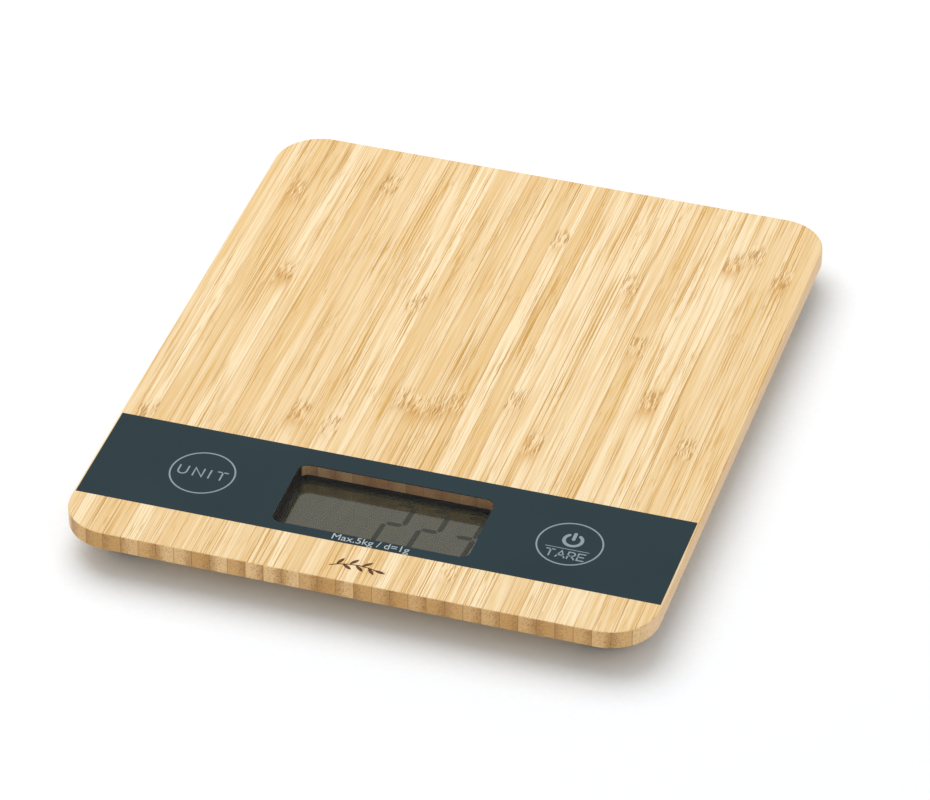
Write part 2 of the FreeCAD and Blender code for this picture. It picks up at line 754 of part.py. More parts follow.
def foot_assembly(row, side, x, y):
    name = f"{row}_{side}"
    turn = wire_turn(row, side)
    holder = new_body(f"{name}_foot_holder")
    disc(holder, x, y, "holder_radius", "holder_ground_gap", "underside")
    for ear_x, ear_y in ear_places(row, side, x, y):
        disc(holder, ear_x, ear_y, "ear_radius", "ear_base", "underside")
    for web_x, web_y in ear_places(row, side, x, y, "(ear_reach + holder_inner) / 2"):
        web = ("ear_reach - holder_inner", "2 * ear_radius", "ear_base", "underside")
        block(holder, web_x, web_y, *web, turn=EAR_TURNS[row, side])
    disc(holder, x, y, "holder_inner", "lip_top", "holder_ceiling", cut=True)
    disc(holder, x, y, "lip_radius", "holder_ground_gap", "lip_top", cut=True)
    for across in SIDES.values():
        for along in SIDES.values():
            post_x = f"{x} + {across} * (load_cell_length - holder_post) / 2"
            post_y = f"{y} + {along} * (load_cell_width - holder_post) / 2"
            post = ("holder_post", "holder_post", "load_cell_top", "holder_ceiling")
            block(holder, post_x, post_y, *post)
    for ear_x, ear_y in ear_places(row, side, x, y):
        disc(holder, ear_x, ear_y, "pilot_radius", "ear_base", "underside", cut=True)
    reach = "(gauge_length / 2 + holder_radius + notch_overrun)"
    slot_x = f"{x} + {reach} / 2 * cos({turn})"
    slot_y = f"{y} + {reach} / 2 * sin({turn})"
    slot = (reach, "wire_slot_width", "wire_slot_base", "holder_ceiling")
    block(holder, slot_x, slot_y, *slot, turn=turn, cut=True)

    load_cell = new_body(f"{name}_load_cell")
    plate = ("load_cell_length", "load_cell_width", "load_cell_base", "load_cell_top")
    block(load_cell, x, y, *plate)
    for way in SIDES.values():
        slot_place = f"{y} + {way} * (tongue_width + load_cell_slot) / 2"
        cut_levels = ("load_cell_base", "load_cell_top")
        block(load_cell, x, slot_place, "tongue_length", "load_cell_slot", *cut_levels, cut=True)
    tip_x = f"{x} + (tongue_length - load_cell_slot) / 2"
    block(load_cell, tip_x, y, "load_cell_slot", "tongue_width + load_cell_slot", *cut_levels, cut=True)

    gauge = new_body(f"{name}_strain_gauge")
    gauge_levels = ("load_cell_top", "load_cell_top + gauge_height")
    block(gauge, x, y, "gauge_length", "gauge_width", *gauge_levels, turn=turn)

    foot = new_body(f"{name}_foot")
    disc(foot, x, y, "foot_radius", "pad_height", "flange_base")
    disc(foot, x, y, "flange_radius", "flange_base", "flange_top")
    disc(foot, x, y, "foot_stem_radius", "flange_top", "load_cell_base")
    disc(new_body(f"{name}_rubber_pad"), x, y, "pad_radius", "0", "pad_height")


# ---- wires


# how much of the shorter run beside a corner its arc takes
ARC_SHARE = 0.45


def tube(points, radius):
    """A round tube along straight runs joined by tangent arcs as large as the shorter run allows."""
    edges = []
    start = points[0]
    for before, corner, after in zip(points, points[1:], points[2:]):
        arrive = (corner - before).normalize()
        leave = (after - corner).normalize()
        half_turn = arrive.getAngle(leave) / 2
        reach = ARC_SHARE * min((corner - before).Length, (after - corner).Length)
        bend = reach / math.tan(half_turn)
        arc_start, arc_end = corner - arrive * reach, corner + leave * reach
        inward = (leave - arrive).normalize()
        middle = corner + inward * (bend / math.cos(half_turn) - bend)
        edges.append(Part.LineSegment(start, arc_start).toShape())
        edges.append(Part.Arc(arc_start, middle, arc_end).toShape())
        start = arc_end
    edges.append(Part.LineSegment(start, points[-1]).toShape())
    path = Part.Wire(edges)
    profile = Part.Wire(Part.Circle(points[0], points[1] - points[0], radius).toShape())
    return path.makePipeShell([profile], True, False)


def cable(row, side, x, y):
    """The three wires of a foot, from its gauge through their channel to the circuit board."""
    turn = math.radians(value(wire_turn(row, side)))
    along = Vector(math.cos(turn), math.sin(turn))
    across = Vector(-along.y, along.x)
    start = Vector(value(x), value(y))
    if row == "front":
        run_length = value("foot_side - circuit_width / 2 + wire_pad_length")
    else:
        run_length = value("rear_foot_row - circuit_rear + wire_pad_length") / -along.y
    slope = value("wire_slope_length")
    flat = 2 * value("wire_pad_length")
    stops = [
        (value("gauge_length / 2"), "wire_level"),
        (run_length - flat - slope, "wire_level"),
        (run_length - flat, "wire_pad_level"),
        (run_length, "wire_pad_level"),
    ]
    wires = []
    for lane in (-1, 0, 1):
        offset = start + across * (lane * value("wire_pitch"))
        points = [offset + along * reach + UP * value(level) for reach, level in stops]
        wires.append(tube(points, value("wire_radius")))
    item = doc.addObject("Part::Feature", f"{row}_{side}_cable")
    item.Label = f"{row}_{side}_cable"
    item.Shape = Part.makeCompound(wires)
    item.Placement = FreeCAD.Placement()


def channel(body, x, y, length, turn):
    """A strip channel under the platform that keeps a foot's wires in place."""
    block(body, x, y, length, "channel_width", "channel_base", "underside", turn=turn)
    inner = ("channel_inner_width", "channel_base + channel_wall", "underside - channel_wall / 2")
    block(body, x, y, f"{length} + notch_overrun", *inner, turn=turn, cut=True)


def channels():
    front = new_body("front_cable_channels")
    rear = new_body("rear_cable_channels")
    middle, length = span("pod_width / 2", "foot_side - holder_radius - channel_gap")
    run = "hypot(rear_wire_run; rear_wire_step)"
    margin = "channel_width / 2 * rear_wire_step / rear_wire_run + channel_gap"
    start, end = f"({margin})", f"({run} - holder_radius - channel_gap)"
    for side in SIDES.values():
        channel(front, f"{side} * ({middle})", "front_foot_row", length, "0")
        reach = f"({start} + {end}) / 2 / {run}"
        x = f"{side} * (rear_wire_exit + rear_wire_step * {reach})"
        y = f"pod_rear + rear_wire_run * {reach}"
        channel(rear, x, y, f"{end} - {start}", f"atan2(rear_wire_run; {side} * rear_wire_step)")


bamboo_platform()
panel_film()
display_window()
for name, x in KEYS.items():
    key(name, x)
upper_housing()
rear_cover()
display()
main_board()
board_parts()
coin_cell()
battery_contacts()
battery_door()
screws()
for foot in FEET:
    foot_assembly(*foot)
    cable(*foot)
channels()
doc.recompute()

# ---- checks, then one file per sub-part
for item in doc.Objects:
    if "Invalid" in item.State or "Error" in item.State:
        raise ValueError(f"{item.Label} did not compute: {item.State}")
    if item.TypeId == "PartDesign::Pocket" and item.Shape.Volume > item.BaseFeature.Shape.Volume - LEAST_CUT:
        raise ValueError(f"{item.Label} cuts nothing")

nodes = [item for item in doc.Objects if item.TypeId in ("PartDesign::Body", "Part::Cone", "Part::Feature")]
for item in nodes:
    if item.Shape.isNull() or not item.Shape.isValid():
        raise ValueError(f"{item.Label} has no valid shape")

os.makedirs("parts", exist_ok=True)
for item in nodes:
    item.Shape.exportStep(f"parts/{item.Label}.step")
print(len(nodes), "nodes")
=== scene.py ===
import math

import bmesh
import bpy
from bpy.props import FloatProperty, FloatVectorProperty, IntProperty, PointerProperty
from mathutils import Matrix, Vector


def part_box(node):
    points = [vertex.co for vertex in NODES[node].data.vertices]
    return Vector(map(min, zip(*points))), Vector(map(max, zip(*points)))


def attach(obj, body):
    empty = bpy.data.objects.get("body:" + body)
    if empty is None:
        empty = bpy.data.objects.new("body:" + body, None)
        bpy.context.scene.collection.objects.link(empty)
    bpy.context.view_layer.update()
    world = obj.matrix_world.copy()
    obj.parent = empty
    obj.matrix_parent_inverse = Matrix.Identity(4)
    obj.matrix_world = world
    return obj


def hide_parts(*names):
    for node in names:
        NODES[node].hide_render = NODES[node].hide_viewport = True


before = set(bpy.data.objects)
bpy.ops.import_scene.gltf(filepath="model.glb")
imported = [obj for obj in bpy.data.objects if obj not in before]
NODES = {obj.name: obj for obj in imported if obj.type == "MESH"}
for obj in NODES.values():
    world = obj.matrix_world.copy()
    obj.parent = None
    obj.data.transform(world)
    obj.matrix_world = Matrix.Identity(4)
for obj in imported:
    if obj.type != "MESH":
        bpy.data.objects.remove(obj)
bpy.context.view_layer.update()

bl_info = {
    "name": "Bamboo kitchen scale",
    "version": (1, 0, 0),
    "blender": (4, 5, 0),
    "location": "View3D > Sidebar > Kitchen scale",
    "description": "Finishes the bamboo platform, film panel, display and underside of a kitchen scale",
    "category": "Object",
}

MM = 0.001
ROOT = "scale_body"
KEYS = ("unit", "tare")
FEET = ("front_left", "front_right", "rear_left", "rear_right")
BOARD_LOW, BOARD_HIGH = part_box("bamboo_platform")
WINDOW_LOW, WINDOW_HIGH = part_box("display_window")
FILM_LOW, FILM_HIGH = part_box("panel_film")


def middle(node):
    low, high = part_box(node)
    return (low + high) / 2


# ---- settings


def colour_of(name, description, default):
    return FloatVectorProperty(
        name=name, description=description, default=default, size=3, min=0, max=1, subtype="COLOR",
    )


def length_of(name, description, default, least):
    return FloatProperty(name=name, description=description, default=default, min=least, unit="LENGTH")


class ScaleFinish(bpy.types.PropertyGroup):
    """Sizes and colours of the visible finish."""

    slat_width: length_of("Slat width", "Width of one bamboo slat across the platform", 5.5 * MM, 1 * MM)
    bamboo_light: colour_of("Pale bamboo", "Colour of the palest slats", (0.935, 0.765, 0.505))
    bamboo_dark: colour_of("Honey bamboo", "Colour of the darkest slats", (0.81, 0.575, 0.295))
    film_colour: colour_of("Film colour", "Colour printed behind the control film", (0.0100, 0.0285, 0.0365))
    ink_colour: colour_of("Ink colour", "Colour of the printed key rings and legends", (0.27, 0.345, 0.38))
    line_width: length_of("Ring line", "Width of the printed key rings", 0.5 * MM, 0.1 * MM)
    ink_height: length_of("Ink height", "How far printed ink stands on the film", 0.012 * MM, 0.001 * MM)


class ScaleDisplay(bpy.types.PropertyGroup):
    """The figures of the display."""

    digit_height: length_of("Digit height", "Height of one figure on the display", 21 * MM, 5 * MM)
    digit_width: length_of("Digit width", "Width of one figure on the display", 7.25 * MM, 2 * MM)
    digit_pitch: length_of("Digit pitch", "Distance from one figure to the next", 10.85 * MM, 4 * MM)
    bar_width: length_of("Bar width", "Width of one bar of a figure", 1.6 * MM, 0.3 * MM)
    slant: FloatProperty(
        name="Slant", description="How far the figures lean to the right",
        default=math.radians(5), unit="ROTATION",
    )
    reading: IntProperty(
        name="Reading", description="The weight shown, in grams", default=223, min=0, max=99999,
    )


class ScaleStage(bpy.types.PropertyGroup):
    """The camera and the light around the scale."""

    azimuth: FloatProperty(
        name="Azimuth", description="Direction that the camera looks from, about the upright axis",
        default=math.radians(17.275), unit="ROTATION",
    )
    elevation: FloatProperty(
        name="Elevation", description="Angle of the camera above the table",
        default=math.radians(36.781), unit="ROTATION",
    )
    distance: FloatProperty(
        name="Distance", description="Distance from the camera to the point it looks at",
        default=1.6394, unit="LENGTH",
    )
    lens: FloatProperty(name="Lens", description="Focal length in millimetres", default=209.73)
    key_power: FloatProperty(
        name="Key light", description="Power of the soft light above the scale", default=15.4, unit="POWER",
    )
    fill: FloatProperty(name="Fill", description="Strength of the even light all round", default=0.66)


# ---- shader and mesh helpers


class Nodes:
    """A node tree in the making. Inputs take numbers, colours or the outputs of other nodes."""

    FAMILY = ""

    def set(self, node, inputs):
        for name, value in inputs.items():
            socket = node.inputs[name.replace("_", " ") if isinstance(name, str) else name]
            if isinstance(value, bpy.types.NodeSocket):
                self.tree.links.new(value, socket)
            elif hasattr(value, "__len__") and len(value) < len(socket.default_value):
                socket.default_value = (*value, 1)
            else:
                socket.default_value = value

    def add(self, kind, inputs=None, **settings):
        node = self.tree.nodes.new(self.FAMILY + kind)
        for name, value in settings.items():
            setattr(node, name, value)
        self.set(node, inputs or {})
        return node


class Shader(Nodes):
    """A material in the making, read in the object's own coordinates."""

    FAMILY = "ShaderNode"

    def __init__(self, name, **surface):
        self.material = bpy.data.materials.new(name)
        self.material.use_nodes = True
        self.tree = self.material.node_tree
        self.surface = self.tree.nodes["Principled BSDF"]
        self.set(self.surface, surface)
        self.place = self.tree.nodes.new("ShaderNodeTexCoord").outputs["Object"]

    def sum(self, operation, *values):
        """The output of a Math node."""
        return self.add("Math", dict(enumerate(values)), operation=operation).outputs[0]

    def times(self, first, *others):
        """The product of several values."""
        for value in others:
            first = self.sum("MULTIPLY", first, value)
        return first

    def bell(self, value):
        """One where the value is nought, and less on both sides."""
        return self.sum("EXPONENT", self.times(value, value, -1.0))

    def ramp(self, value, low, high, to_low=0.0, to_high=1.0):
        """A value taken from one range to another, and held at its ends."""
        ranges = {"Value": value, "From Min": low, "From Max": high, "To Min": to_low, "To Max": to_high}
        return self.add("MapRange", ranges, interpolation_type="SMOOTHSTEP").outputs["Result"]

    def mix(self, share, first, second):
        return self.add("Mix", {0: share, 6: first, 7: second}, data_type="RGBA").outputs[2]

    def stretched(self, steps, detail=2.0, place=None, roughness=0.5):
        """Noise whose grains are steps long along X, Y and Z, in metres."""
        scale = [1 / step for step in steps]
        spread = self.add("VectorMath", {0: place or self.place, 1: scale}, operation="MULTIPLY")
        noise = {"Vector": spread.outputs[0], "Scale": 1.0, "Detail": detail, "Roughness": roughness}
        return self.add("TexNoise", noise).outputs["Fac"]

    def bump(self, height, strength, distance):
        relief = {"Height": height, "Strength": strength, "Distance": distance}
        self.set(self.surface, {"Normal": self.add("Bump", relief).outputs["Normal"]})

    def finish(self, **inputs):
        self.set(self.surface, inputs)
        return self.material


def dress(node, material):
    """Gives a node of the frame its finish."""
    mesh = NODES[node].data
    mesh.materials.clear()
    mesh.materials.append(material)


def linked(name, data):
    """A new object in the scene."""
    item = bpy.data.objects.new(name, data)
    bpy.context.scene.collection.objects.link(item)
    return item


def solid(name, mesh, material, body):
    """A finished piece that rides on a body."""
    piece = linked(name, mesh)
    mesh.materials.clear()
    mesh.materials.append(material)
    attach(piece, body)
    return piece


def finished(work, name):
    """The mesh that mesh work comes to."""
    mesh = bpy.data.meshes.new(name)
    work.to_mesh(mesh)
    work.free()
    return mesh


def block(work, low, high):
    """The faces between two loops of vertices, closed at both ends."""
    work.faces.new(high)
    work.faces.new(low[::-1])
    for i in range(len(low)):
        j = (i + 1) % len(low)
        work.faces.new((low[i], low[j], high[j], high[i]))


def plates(outlines, low, high):
    """One mesh of flat plates, each between two levels over an outline that runs anticlockwise."""
    work = bmesh.new()
    for outline in outlines:
        block(work, *[[work.verts.new((x, y, z)) for x, y in outline] for z in (low, high)])
    return finished(work, "plates")


def ring_mesh(centre, inner, outer, low, high, steps=96):
    """A flat ring with a rectangular section."""
    work = bmesh.new()
    corners = ((inner, low), (outer, low), (outer, high), (inner, high))
    loops = []
    for step in range(steps):
        turn = 2 * math.pi * step / steps
        points = [(centre.x + r * math.cos(turn), centre.y + r * math.sin(turn), z) for r, z in corners]
        loops.append([work.verts.new(point) for point in points])
    for step in range(steps):
        here, there = loops[step], loops[(step + 1) % steps]
        for i in range(4):
            j = (i + 1) % 4
            work.faces.new((here[i], there[i], there[j], here[j]))
    bmesh.ops.recalc_face_normals(work, faces=work.faces)
    return finished(work, "ring")


def joined(meshes):
    """Several meshes as one."""
    work = bmesh.new()
    for mesh in meshes:
        work.from_mesh(mesh)
        bpy.data.meshes.remove(mesh)
    return finished(work, "joined")


def lathe(profile, centre, steps=64):
    """A shape turned about an upright axis, from (radius, height) points that start and end on it."""
    work = bmesh.new()
    rings = []
    for radius, z in profile:
        if radius < 1e-9:
            rings.append([work.verts.new((centre.x, centre.y, z))] * steps)
            continue
        turns = [2 * math.pi * step / steps for step in range(steps)]
        circle = [(centre.x + radius * math.cos(a), centre.y + radius * math.sin(a), z) for a in turns]
        rings.append([work.verts.new(point) for point in circle])
    for inner, outer in zip(rings, rings[1:]):
        for step in range(steps):
            after = (step + 1) % steps
            corners = dict.fromkeys((inner[step], inner[after], outer[after], outer[step]))
            work.faces.new(tuple(corners))
    bmesh.ops.recalc_face_normals(work, faces=work.faces)
    return finished(work, "turned")


def arc(x, y, radius, start, end, steps=16):
    """Points along an arc, from one angle in degrees to another."""
    turns = [math.radians(start + (end - start) * i / steps) for i in range(steps + 1)]
    return [(x + radius * math.cos(a), y + radius * math.sin(a)) for a in turns]


def stroke(points, width):
    """The outline of a pen stroke of one width along points, with round ends, anticlockwise."""
    half = width / 2
    path = [Vector(points[0])]
    for point in map(Vector, points[1:]):
        if (point - path[-1]).length > width / 50:
            path.append(point)
    sides = []
    for i, point in enumerate(path):
        before = (point - path[i - 1]).normalized() if i else None
        after = (path[i + 1] - point).normalized() if i + 1 < len(path) else None
        along = ((before or after) + (after or before)).normalized()
        stretch = 1 / max(along.dot(after or before), 0.5)
        sides.append(Vector((-along.y, along.x)) * half * stretch)
    end = path[-1] - path[-2]
    start = path[0] - path[1]
    end_turn = math.degrees(math.atan2(end.y, end.x))
    start_turn = math.degrees(math.atan2(start.y, start.x))
    outline = [point - side for point, side in zip(path, sides)][1:-1]
    outline = arc(*path[0], half, start_turn - 90, start_turn + 90, 6)[3:] + [tuple(p) for p in outline]
    outline += arc(*path[-1], half, end_turn - 90, end_turn + 90, 6)
    outline += [tuple(point + side) for point, side in zip(path, sides)][1:-1][::-1]
    return outline + arc(*path[0], half, start_turn - 90, start_turn + 90, 6)[:3]


# Letters as pen strokes in a box one unit high: the strokes, then the letter's width.
LETTERS = {
    "U": ([[(0, 1), (0, 0.36), *arc(0.36, 0.36, 0.36, 180, 360), (0.72, 1)]], 0.72),
    "N": ([[(0, 0), (0, 1), (0.74, 0), (0.74, 1)]], 0.74),
    "I": ([[(0, 0), (0, 1)]], 0.0),
    "T": ([[(0, 1), (0.8, 1)], [(0.4, 1), (0.4, 0)]], 0.8),
    "A": ([[(0, 0), (0.42, 1), (0.84, 0)], [(0.14, 0.33), (0.7, 0.33)]], 0.84),
    "R": (
        [[(0, 0), (0, 1), (0.38, 1), *arc(0.38, 0.73, 0.27, 90, -90), (0, 0.46)], [(0.3, 0.46), (0.68, 0)]],
        0.68,
    ),
    "E": ([[(0.64, 1), (0, 1), (0, 0), (0.64, 0)], [(0, 0.52), (0.56, 0.52)]], 0.64),
}


def lettering(word, centre, height, span, width):
    """The strokes of a word, spread over a span about its middle."""
    widths = [LETTERS[letter][1] * height for letter in word]
    gap = (span - sum(widths)) / (len(word) - 1)
    x = centre[0] - span / 2
    outlines = []
    for letter, wide in zip(word, widths):
        for points in LETTERS[letter][0]:
            placed = [(x + px * height, centre[1] + (py - 0.5) * height) for px, py in points]
            outlines.append(stroke(placed, width))
        x += wide + gap
    return outlines


def baked(holder):
    """The plain mesh that a modified object comes to; the holder goes."""
    view = bpy.context.evaluated_depsgraph_get()
    mesh = bpy.data.meshes.new_from_object(holder.evaluated_get(view), depsgraph=view)
    holder.modifiers.clear()
    bpy.data.objects.remove(holder)
    return mesh


class Pattern(Nodes):
    """A tree that sets one shape in many places. Each named input has a kind and a default."""

    def __init__(self, name, **inputs):
        self.tree = bpy.data.node_groups.new(name, "GeometryNodeTree")
        self.tree.is_modifier = True
        sockets = self.tree.interface
        for label, (kind, value) in inputs.items():
            socket = sockets.new_socket(label, in_out="INPUT", socket_type="NodeSocket" + kind)
            if value is not None:
                socket.default_value = value
        sockets.new_socket("Material", in_out="INPUT", socket_type="NodeSocketMaterial")
        sockets.new_socket("Geometry", in_out="OUTPUT", socket_type="NodeSocketGeometry")
        self.values = self.tree.nodes.new("NodeGroupInput").outputs

    def spread(self, points, shape, **inputs):
        """The finished tree, with the shape at each point, made real and given its material."""
        placed = self.add("GeometryNodeInstanceOnPoints", {"Points": points, "Instance": shape, **inputs})
        real = self.add("GeometryNodeRealizeInstances", {0: placed.outputs["Instances"]})
        coat = {"Geometry": real.outputs[0], "Material": self.values["Material"]}
        coated = self.add("GeometryNodeSetMaterial", coat)
        self.add("NodeGroupOutput", {0: coated.outputs["Geometry"]})
        return self.tree


def grown(tree, values, seats=None):
    """The plain mesh that a node tree gives, with its inputs set by their identifiers."""
    mesh = bpy.data.meshes.new("seats")
    mesh.from_pydata(seats or [(0, 0, 0)], [], [])
    holder = linked("holder", mesh)
    modifier = holder.modifiers.new("grow", "NODES")
    modifier.node_group = tree
    for item in tree.interface.items_tree:
        if item.in_out == "INPUT" and item.name in values:
            modifier[item.identifier] = values[item.name]
    return baked(holder)


def islands(node):
    """The lowest and highest corner of each separate solid in a node of the frame."""
    work = bmesh.new()
    work.from_mesh(NODES[node].data)
    bmesh.ops.remove_doubles(work, verts=work.verts, dist=1e-6)
    left = set(work.verts)
    boxes = []
    while left:
        edge = [left.pop()]
        found = list(edge)
        while edge:
            near = {e.other_vert(v) for v in edge for e in v.link_edges} & left
            left -= near
            edge = list(near)
            found += edge
        low = Vector([min(v.co[i] for v in found) for i in range(3)])
        high = Vector([max(v.co[i] for v in found) for i in range(3)])
        boxes.append((low, high))
    work.free()
    return sorted(boxes, key=lambda pair: tuple(round(c, 5) for c in pair[0]))


# ---- bamboo


# The joint between two culm sections in a slat: the slat's number, then millimetres from the front edge.
KNUCKLES = (
    (1, 60), (2, 184), (4, 141), (5, 24), (7, 196), (9, 74), (11, 70), (12, 138), (14, 89), (15, 87),
    (16, 88), (17, 92), (18, 183), (20, 99), (21, 14), (22, 79), (23, 166), (25, 136), (27, 110),
    (28, 187), (29, 193), (30, 90), (31, 182),
)
# Two ramps share the slats, because one holds 32 steps at most.
RAMP_SLATS = 17
# How much of the first slat was trimmed off with the platform's edge.
FIRST_SLAT_TRIM = 1.2 * MM


def joint_places(s, slat, first):
    """How far back the joint of each slat is, as a share of the depth, for the slats from the first on."""
    number = s.sum("SUBTRACT", slat, first - 0.5)
    ramp = s.add("ValToRGB", {"Fac": s.sum("DIVIDE", number, RAMP_SLATS)})
    steps = ramp.color_ramp
    steps.interpolation = "CONSTANT"
    steps.elements.remove(steps.elements[1])
    places = dict(KNUCKLES)
    for step in range(RAMP_SLATS):
        share = places.get(first + step, 0) * MM / (BOARD_HIGH.y - BOARD_LOW.y)
        element = steps.elements.new(step / RAMP_SLATS) if step else steps.elements[0]
        element.color = (share, share, share, 1)
    return ramp.outputs["Color"]


def behind_joint(s, along, slat):
    """How far a point is behind the joint of its slat, and whether the slat has one."""
    place = s.times(joint_places(s, slat, 0), s.sum("LESS_THAN", slat, RAMP_SLATS))
    late = s.sum("GREATER_THAN", slat, RAMP_SLATS - 0.5)
    place = s.sum("ADD", place, s.times(joint_places(s, slat, RAMP_SLATS), late))
    joint = s.sum("MULTIPLY_ADD", place, BOARD_HIGH.y - BOARD_LOW.y, BOARD_LOW.y)
    return s.sum("SUBTRACT", along, joint), s.sum("GREATER_THAN", place, 0.001)


def slat_fibre(s, near, tone, shift, flip):
    """Where the grain is read: each slat has its own stretch of fibre, bent round its joint."""
    bend = s.sum("SUBTRACT", s.stretched((1.7 * MM, 3.2 * MM, 1.7 * MM), 1.0), 0.5)
    bend = s.times(bend, s.sum("MULTIPLY_ADD", near, 1.2 * MM, 0.25 * MM))
    sideways = s.sum("ADD", bend, s.times(shift, 0.3))
    own = s.add("CombineXYZ", {"X": sideways, "Y": s.times(tone, 2.0), "Z": flip}).outputs[0]
    return s.add("VectorMath", {0: s.place, 1: own}, operation="ADD").outputs[0]


def long_grain(s, finish, fibre, tone):
    """The colour along the fibres, the finest of them, and the dark flecks."""
    base = s.mix(s.ramp(tone, 0.15, 0.95), finish.bamboo_light, finish.bamboo_dark)
    broad = s.stretched((2.0 * MM, 70 * MM, 2.5 * MM), 2.0, fibre)
    base = s.mix(s.ramp(broad, 0.44, 0.64, 0.0, 0.6), base, (0.79, 0.54, 0.245))
    pale = s.stretched((1.1 * MM, 55 * MM, 1.1 * MM), 2.0, fibre)
    base = s.mix(s.ramp(pale, 0.52, 0.66, 0.0, 0.42), base, (0.96, 0.81, 0.55))
    fine = s.stretched((0.34 * MM, 30 * MM, 0.34 * MM), 2.0, fibre, 0.6)
    base = s.mix(s.ramp(fine, 0.50, 0.66, 0.0, 0.55), base, (0.74, 0.455, 0.14))

    # streaks, long threads and short flecks come in patches
    patch = s.stretched((9 * MM, 40 * MM, 9 * MM), 1.0, fibre)
    streak = s.stretched((0.75 * MM, 26 * MM, 0.75 * MM), 2.0, fibre, 0.6)
    streaks = s.times(s.ramp(streak, 0.56, 0.70), s.ramp(patch, 0.38, 0.62, 0.25, 1.0))
    base = s.mix(s.times(streaks, 0.8), base, (0.64, 0.36, 0.085))
    thread = s.stretched((0.36 * MM, 75 * MM, 0.36 * MM), 1.0, fibre)
    threads = s.times(s.ramp(thread, 0.585, 0.65), s.ramp(patch, 0.36, 0.58, 0.3, 0.9))
    base = s.mix(threads, base, (0.56, 0.30, 0.065))
    fleck = s.stretched((0.45 * MM, 8 * MM, 0.45 * MM), 1.5, fibre)
    flecks = s.times(s.ramp(fleck, 0.60, 0.72), s.ramp(patch, 0.42, 0.60, 0.1, 0.9))
    return s.mix(s.times(flecks, 0.7), base, (0.58, 0.33, 0.11)), fine, flecks


def joint_marks(s, base, fibre, near, behind, present, shift):
    """A tan stain in front of each joint, and short dark and pale dashes that curl round it."""
    stain = s.bell(s.sum("DIVIDE", s.sum("ADD", behind, 3 * MM), 6 * MM))
    stain = s.times(stain, present, s.ramp(shift, 0.2, 0.8, 0.2, 0.8))
    base = s.mix(stain, base, (0.68, 0.395, 0.135))
    dash = s.stretched((0.38 * MM, 6 * MM, 0.38 * MM), 1.5, fibre, 0.55)
    core = s.ramp(near, 0.08, 0.7)
    for limit, strength, colour in ((0.40, 0.6, (0.95, 0.77, 0.47)), (0.62, 0.85, (0.50, 0.265, 0.08))):
        marks = s.times(s.ramp(dash, 0.50, limit), core)
        base = s.mix(s.times(marks, strength), base, colour)
    return base


def sawn_end(s, within, edge, shift, flip):
    """The ends of the slats: dots of fibre, crowded towards one side of each."""
    dense = s.sum("ABSOLUTE", s.sum("SUBTRACT", within, s.sum("GREATER_THAN", shift, 0.5)))
    scale = (1 / (0.56 * MM), 0.02, 1 / (0.62 * MM))
    spread = s.add("VectorMath", {0: s.place, 1: scale}, operation="MULTIPLY")
    cells = s.add("TexVoronoi", {"Vector": spread.outputs[0], "Scale": 1.0, "Randomness": 1.0})
    dots = s.ramp(cells.outputs["Distance"], 0.52, 0.24)
    dots = s.times(dots, s.ramp(dense, 0.0, 1.0, 0.35, 1.0))
    end = s.mix(s.ramp(flip, 0.1, 0.9), (0.84, 0.56, 0.27), (0.62, 0.355, 0.125))
    end = s.mix(s.ramp(dense, 0.4, 1.0, 0.0, 0.75), end, (0.47, 0.25, 0.085))
    end = s.mix(s.times(dots, 0.8), end, (0.36, 0.18, 0.06))
    return s.mix(s.ramp(edge, 0.46, 0.495, 0.0, 0.55), end, (0.27, 0.13, 0.045))


def in_opening(s, across, along, upright):
    """One on the walls of the display opening, under the film, where the wood gets painted shade."""
    margin = 1 * MM
    beside = s.sum("LESS_THAN", s.sum("ABSOLUTE", across), WINDOW_HIGH.x + margin)
    off_middle = s.sum("ABSOLUTE", s.sum("SUBTRACT", along, middle("display_window").y))
    ahead = s.sum("LESS_THAN", off_middle, (WINDOW_HIGH.y - WINDOW_LOW.y) / 2 + margin)
    under = s.sum("LESS_THAN", upright, FILM_LOW.z - 0.02 * MM)
    return s.times(beside, ahead, under)


